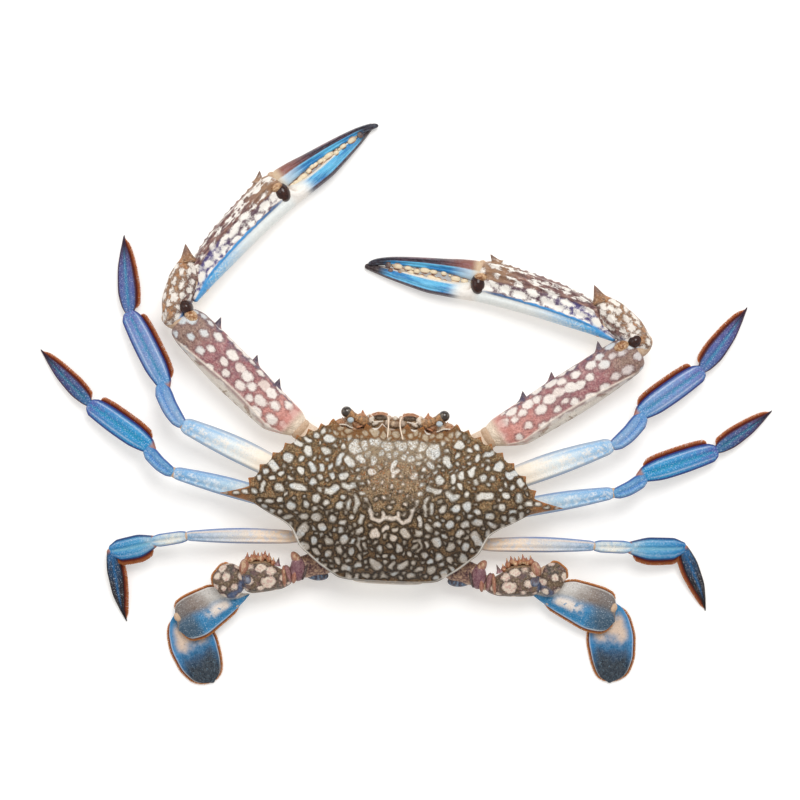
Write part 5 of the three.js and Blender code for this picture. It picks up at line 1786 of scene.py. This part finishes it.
def build_claw(side_name):
    coxa, merus, carpus, palm, finger = limb_frames("cheliped", side_name)
    node = "cheliped_" + side_name + "_"
    hinge = HINGES[side_name]
    seed = 3 if side_name == "right" else 4
    hard_part(node + "coxa", [shell(coxa, COXA, coxa_relief, 1.4, rings=40)], "coxa", "coxa_shell")

    upper = shell(merus, CLAW_MERUS, claw_merus_relief, rings=150, sides=110)
    parts = [add_spots(upper, 4.7, 1.8, 1.35, seed)]
    parts += [claw_spine(merus, *row) for row in CLAW_SPINES["merus"]]
    hard_part(node + "merus", parts, "claw_merus", "claw_shell")

    wrist = shell(carpus, CLAW_CARPUS, claw_carpus_relief, rings=90, sides=90)
    parts = [add_spots(wrist, 3.5, 1.35, 1.4, seed + 2)]
    parts += [claw_spine(carpus, *row, 2.2, 9.5) for row in CLAW_SPINES["carpus"]]
    parts += [claw_spine(carpus, *row, 3.0, 4.4, (0, 1, 0)) for row in CLAW_SPINES["wrist"]]
    hard_part(node + "carpus", parts, "claw_carpus", "claw_shell")

    hand = shell(palm, CLAW_PALM, palm_relief, rings=240, sides=150)
    parts = [add_spots(hand, 3.6, 1.4, 1.8, seed + 4)]
    parts += [claw_spine(palm, *row, high=1.5) for row in CLAW_SPINES["palm"]]
    parts += tooth_row(palm, FIXED_TEETH[side_name], -1)
    hard_part(node + "palm", parts, "palm", "claw_shell")

    thumb = shell(finger, CLAW_FINGER, finger_relief, rings=150, sides=80)
    hard_part(node + "dactylus", [thumb] + tooth_row(finger, MOVING_TEETH, 1), "finger", "claw_finger")

    along, aside = hinge["palm"]
    dark = [lump(palm, (along * palm.length, aside, 4.4), (6.6, 9.2, 7.6), turn=0.3, fine=24)]
    warm = [lump(palm, (along * palm.length - 0.3, aside - 3.2, 5.4), (6, 4, 6.4), turn=0.3, fine=20)]
    along, aside = hinge["dark"]
    dark.append(lump(merus, (along * merus.length, aside, 3.4), (7, 6, 8.4), fine=20))
    along, aside = hinge["orange"]
    warm.append(lump(merus, (along * merus.length - 0.8, aside, 3.2), (8, 5.2, 8.2), fine=20))
    piece(node + "hinges", dark, "knuckle", "claw_shell")
    piece(node + "hinge_caps", warm, "knuckle_cap", "claw_shell")
    skins = [
        joint_skin(coxa, (9, 10, 9)),
        joint_skin(merus, (8, 10, 9)),
        joint_skin(carpus, (9, 13, 9), -4),
        joint_skin(palm, (8, 11, 8), 1.5),
        joint_skin(palm, (6, 12, 8), -3, palm.length * 1.02),
    ]
    piece(node + "joint_skin", skins, "skin", "joint_skin")


LEG_ROWS = {
    "leg1": (WALKING_MERUS, WALKING_CARPUS, WALKING_PROPODUS, WALKING_DACTYLUS),
    "leg2": (WALKING_MERUS, WALKING_CARPUS, WALKING_PROPODUS, WALKING_DACTYLUS),
    "leg3": (WALKING_MERUS, THIRD_CARPUS, THIRD_PROPODUS, THIRD_DACTYLUS),
}
LEG_WIDTHS = {"leg1": (1, 1, 1, 1, 1), "leg2": (1, 0.78, 0.85, 1, 0.85), "leg3": (0.95, 0.62, 1, 1, 1)}
LEG_PAINTS = {"leg1": "leg_", "leg2": "second_", "leg3": "third_"}
# Name, paint, relief, squareness, the hair's reach, and where the hair begins and ends.
LEG_SEGMENTS = (
    ("merus", "merus", merus_relief, 2.3, 0, ()),
    ("carpus", "carpus", carpus_relief, 2.5, 0, ()),
    ("propodus", "propodus", propodus_relief, 3.0, 2.0, (0.03, 0.95)),
    ("dactylus", "tip", dactylus_relief, 2.8, 1.7, (0.03, 0.975)),
)


def build_leg(limb, side_name):
    frames = limb_frames(limb, side_name)
    node = limb + "_" + side_name + "_"
    third = limb == "leg3"
    seed = sum(ord(letter) for letter in node)
    part = shell(frames[0], COXA, coxa_relief, LEG_WIDTHS[limb][0], rings=40)
    hard_part(node + "coxa", [part], "coxa", "coxa_shell")
    tufts = []
    for index, (segment, paint, relief, power, reach, span) in enumerate(LEG_SEGMENTS):
        where, rows, width = frames[index + 1], LEG_ROWS[limb][index], LEG_WIDTHS[limb][index + 1]
        bare = (reach, 0) if third else (0, reach)
        if reach:
            edge = -1 if third else 1
            tufts.append(fringe(where, rows, edge, *span, reach, width, seed=seed + index))
        part = shell(where, rows, relief, width, bare, 1.1, 100, 64, power, 0.7)
        slot = "leg_tip" if paint == "tip" else "leg_shell"
        hard_part(node + segment, [part], LEG_PAINTS[limb] + paint, slot)
    piece(node + "fringe", tufts, "hair", "hair", closed=False)
    slim = 0.75 if third else 0.9
    sizes = ((7, 6, 6), (6, 6 * slim, 5), (6, 5 * slim, 4.2), (4, 5, 3), (4, 4.4, 2.2))
    piece(node + "joint_skin", list(map(joint_skin, frames, sizes)), "skin", "joint_skin")


# Pale spots of the upper segment: place and radius.
SWIM_SPOTS = [
    (8.7, 1.4, 5, 1.9), (13.1, 3.6, 5, 2.0), (11.1, -3.6, 5, 2.5), (18, 5.6, 5, 2.1), (19.3, -1.6, 5, 1.6),
]
FLAT_HAIR = 0.9


def root_plates(root, merus):
    """Folded plates at the foot of a swimming leg, a dark flap behind them and a knob at the knee."""
    far, knee = root.length, merus.length
    plates = [
        (root, (0.86 * far, -0.2, 2.8), (7, 11, 7.4), (0, 0, 0), 0.2),
        (root, (0.84 * far, 3.8, 2.2), (4.2, 8.4, 7), (0.7, 0, 0), -0.35),
        (root, (0.97 * far, -2.6, 3.2), (2.6, 7.6, 6), (0.7, 0, 0), 0.35),
        (root, (0.72 * far, -2.2, 3.4), (1.6, 7.5, 6), (0, 0.9, 0), 0.5),
        (merus, (0.17 * knee, -2.4, 1.4), (2.4, 9.8, 9.4), (0.75, 0, 0), 0.12),
        (merus, (0.08 * knee, -1.6, 1.2), (3.4, 8.4, 8.6), (0.2, 0, 0), -0.15),
        (merus, (0.93 * knee, 4.8, 1.8), (4.6, 7.6, 8.2), (0.7, 0, 0), 0.3),
        (merus, (0.9 * knee, -0.6, 3.4), (4.4, 4.8, 4.6), (0, 0, 0.8), 0.2),
        (root, (0.45 * far, -4.4, 0.6), (11, 5.4, 4), (0, 0, 0.9), 0.35),
    ]
    made = [lump(where, centre, size, mark, turn, 2.3, 18) for where, centre, size, mark, turn in plates]
    made.append(spike(merus, (0.27 * knee, 2.6, 3), (0.2 * knee, 6.6, 3.6), 3, 2.6, mark=(0, 0.9, 0)))
    for step, share in enumerate(np.linspace(0.34, 0.84, 8)):
        front = along_rows(SWIM_MERUS, np.array([share]))[1][0]
        centre = (share * knee, front - 1.4 + 0.5 * (step % 3), 2.0)
        made.append(lump(merus, centre, (2.4, 2.6 + 0.5 * (step % 2), 3), (0.95, 0, 0), 0.25, 1.6))
        tip = (centre[0] - 0.7, centre[1] + 2.7 + 0.5 * (step % 2), 2.5)
        made.append(spike(merus, centre, tip, 2.4, 2.2, mark=(1, 0, 0)))
    return made


def build_swimming_leg(side_name):
    root, merus, carpus, blade, paddle = limb_frames("swimming_leg", side_name)
    node = "swimming_leg_" + side_name + "_"
    seed = 30 + SIDES[side_name]
    part = add_spots(shell(root, COXA, coxa_relief, 1.15, rings=50), 4.4, 1.2, 1.2, seed)
    hard_part(node + "coxa", [part], "swim_root", "coxa_shell")
    piece(node + "root_plates", root_plates(root, merus), "swim_plates", "coxa_shell")
    part = shell(merus, SWIM_MERUS, swim_merus_relief, bare=(0, 2.4), rings=110, sides=90)
    add_spots(part, 4.6, 1.0, 1.2, seed + 2, SWIM_SPOTS)
    hard_part(node + "merus", [part], "swim", "swim_shell")
    part = shell(carpus, SWIM_CARPUS, swim_carpus_relief, rings=70, sides=80)
    add_spots(part, 4.6, 1.5, 1.1, seed + 4)
    hard_part(node + "carpus", [part], "swim", "swim_shell")
    bare = (FLAT_HAIR, FLAT_HAIR)
    part = shell(blade, SWIM_PROPODUS, blade_relief, 1.0, bare, 3, 110, 80, 2.2)
    hard_part(node + "propodus", [part], "blade", "paddle_shell")
    part = shell(paddle, PADDLE, paddle_relief, 1.0, bare, 3.5, 120, 96, 2.2)
    hard_part(node + "paddle", [part], "paddle", "paddle_shell")
    tufts = [
        fringe(blade, SWIM_PROPODUS, 1, 0.0, 1.05, FLAT_HAIR, cap=3, seed=seed),
        fringe(blade, SWIM_PROPODUS, -1, -0.05, 1.129, FLAT_HAIR, cap=3, seed=seed + 1),
        fringe(paddle, PADDLE, 1, -0.02, 0.999, FLAT_HAIR, cap=3.5, lean=0.25, seed=seed + 2),
        fringe(paddle, PADDLE, -1, -0.02, 0.999, FLAT_HAIR, cap=3.5, lean=0.25, seed=seed + 3),
        fringe(merus, SWIM_MERUS, 1, 0.28, 0.9, 2.4, 1.0, 9, 1.4, 0.2, seed + 4, 1.5, -0.4),
        fringe(carpus, SWIM_CARPUS, 1, -0.1, 1.2, 0.7, 1.0, 9, 1.4, 0.2, seed + 5, 0.8, 0.7),
    ]
    piece(node + "fringe", tufts, "pale_hair", "hair", closed=False)
    skins = [
        joint_skin(root, (8, 7, 7)),
        joint_skin(merus, (7, 7, 6), -2),
        joint_skin(carpus, (6, 10, 6), 3),
        joint_skin(blade, (5, 7, 3), -4),
        joint_skin(paddle, (5, 7, 1.8)),
        joint_skin(blade, (3.2, 4.4, 3.2), 0.4, 1.04 * blade.length, 0.4),
    ]
    piece(node + "joint_skin", skins, "skin", "joint_skin")

# ---- Putting it together ----

hard_part("carapace", [carapace_mesh()], "carapace", "carapace_shell")
hard_part("thorax", [thorax_mesh()], "belly", "belly_shell")
hard_part("abdomen", [abdomen_mesh()], "belly", "belly_shell")
hard_part("mouth_frame", ledge_meshes(), "mouth", "mouth_shell")
for side_name, side in SIDES.items():
    hard_part("maxilliped_" + side_name, mouth_plate(side), "mouth_plate", "mouth_shell")
    stalk, cornea = eye_meshes(side)
    eye, feeler = "eye_" + side_name, "antenna_" + side_name
    piece(eye + "_stalk", stalk, "eye", "eye", eye)
    piece(eye + "_cornea", cornea, "cornea", "eye", eye)
    piece(feeler + "_feeler", feeler_meshes(side_name), "feeler", "feeler", feeler)
    build_claw(side_name)
    for limb in LEG_ROWS:
        build_leg(limb, side_name)
    build_swimming_leg(side_name)

# ---- Floor, light and camera ----


def make_floor():
    bm = bmesh.new()
    bmesh.ops.create_grid(bm, x_segments=4, y_segments=4, size=3)
    mesh = to_mesh(bm, "floor")
    material = bpy.data.materials.new("floor_white")
    material.use_nodes = True
    shader = material.node_tree.nodes["Principled BSDF"]
    shader.inputs["Base Color"].default_value = (0.8, 0.79, 0.775, 1)
    shader.inputs["Emission Color"].default_value = (1, 0.985, 0.965, 1)
    shader.inputs["Emission Strength"].default_value = 0.3
    shader.inputs["Roughness"].default_value = 0.85
    shader.inputs["Specular IOR Level"].default_value = 0.1
    mesh.materials.append(material)
    new_object("floor", mesh)


def make_light(name, place, size, power):
    """A square lamp that faces the middle of the floor."""
    data = bpy.data.lights.new(name, "AREA")
    data.size = size
    data.energy = power
    lamp = new_object(name, data)
    lamp.location = place
    lamp.rotation_euler = (-Vector(place)).to_track_quat("-Z", "Y").to_euler()


make_floor()
make_light("high_light", (0.25, 0.9, 1.5), 0.9, 19)
make_light("side_light", (-1.2, 0.2, 1.1), 1.2, 4)

studio = bpy.data.worlds.new("studio")
studio.use_nodes = True
sky = studio.node_tree.nodes["Background"]
sky.inputs["Color"].default_value = (1, 1, 1, 1)
sky.inputs["Strength"].default_value = 0.55
bpy.context.scene.world = studio
bpy.context.scene.view_settings.view_transform = "Standard"

camera_data = bpy.data.cameras.new("camera")
camera_data.lens = 120
camera_data.sensor_width = 36
camera = new_object("camera", camera_data)
camera.location = (0.00174, 0.04456, 1.2)
camera.rotation_euler = (0, 0, radians(2.6))
bpy.context.scene.camera = camera
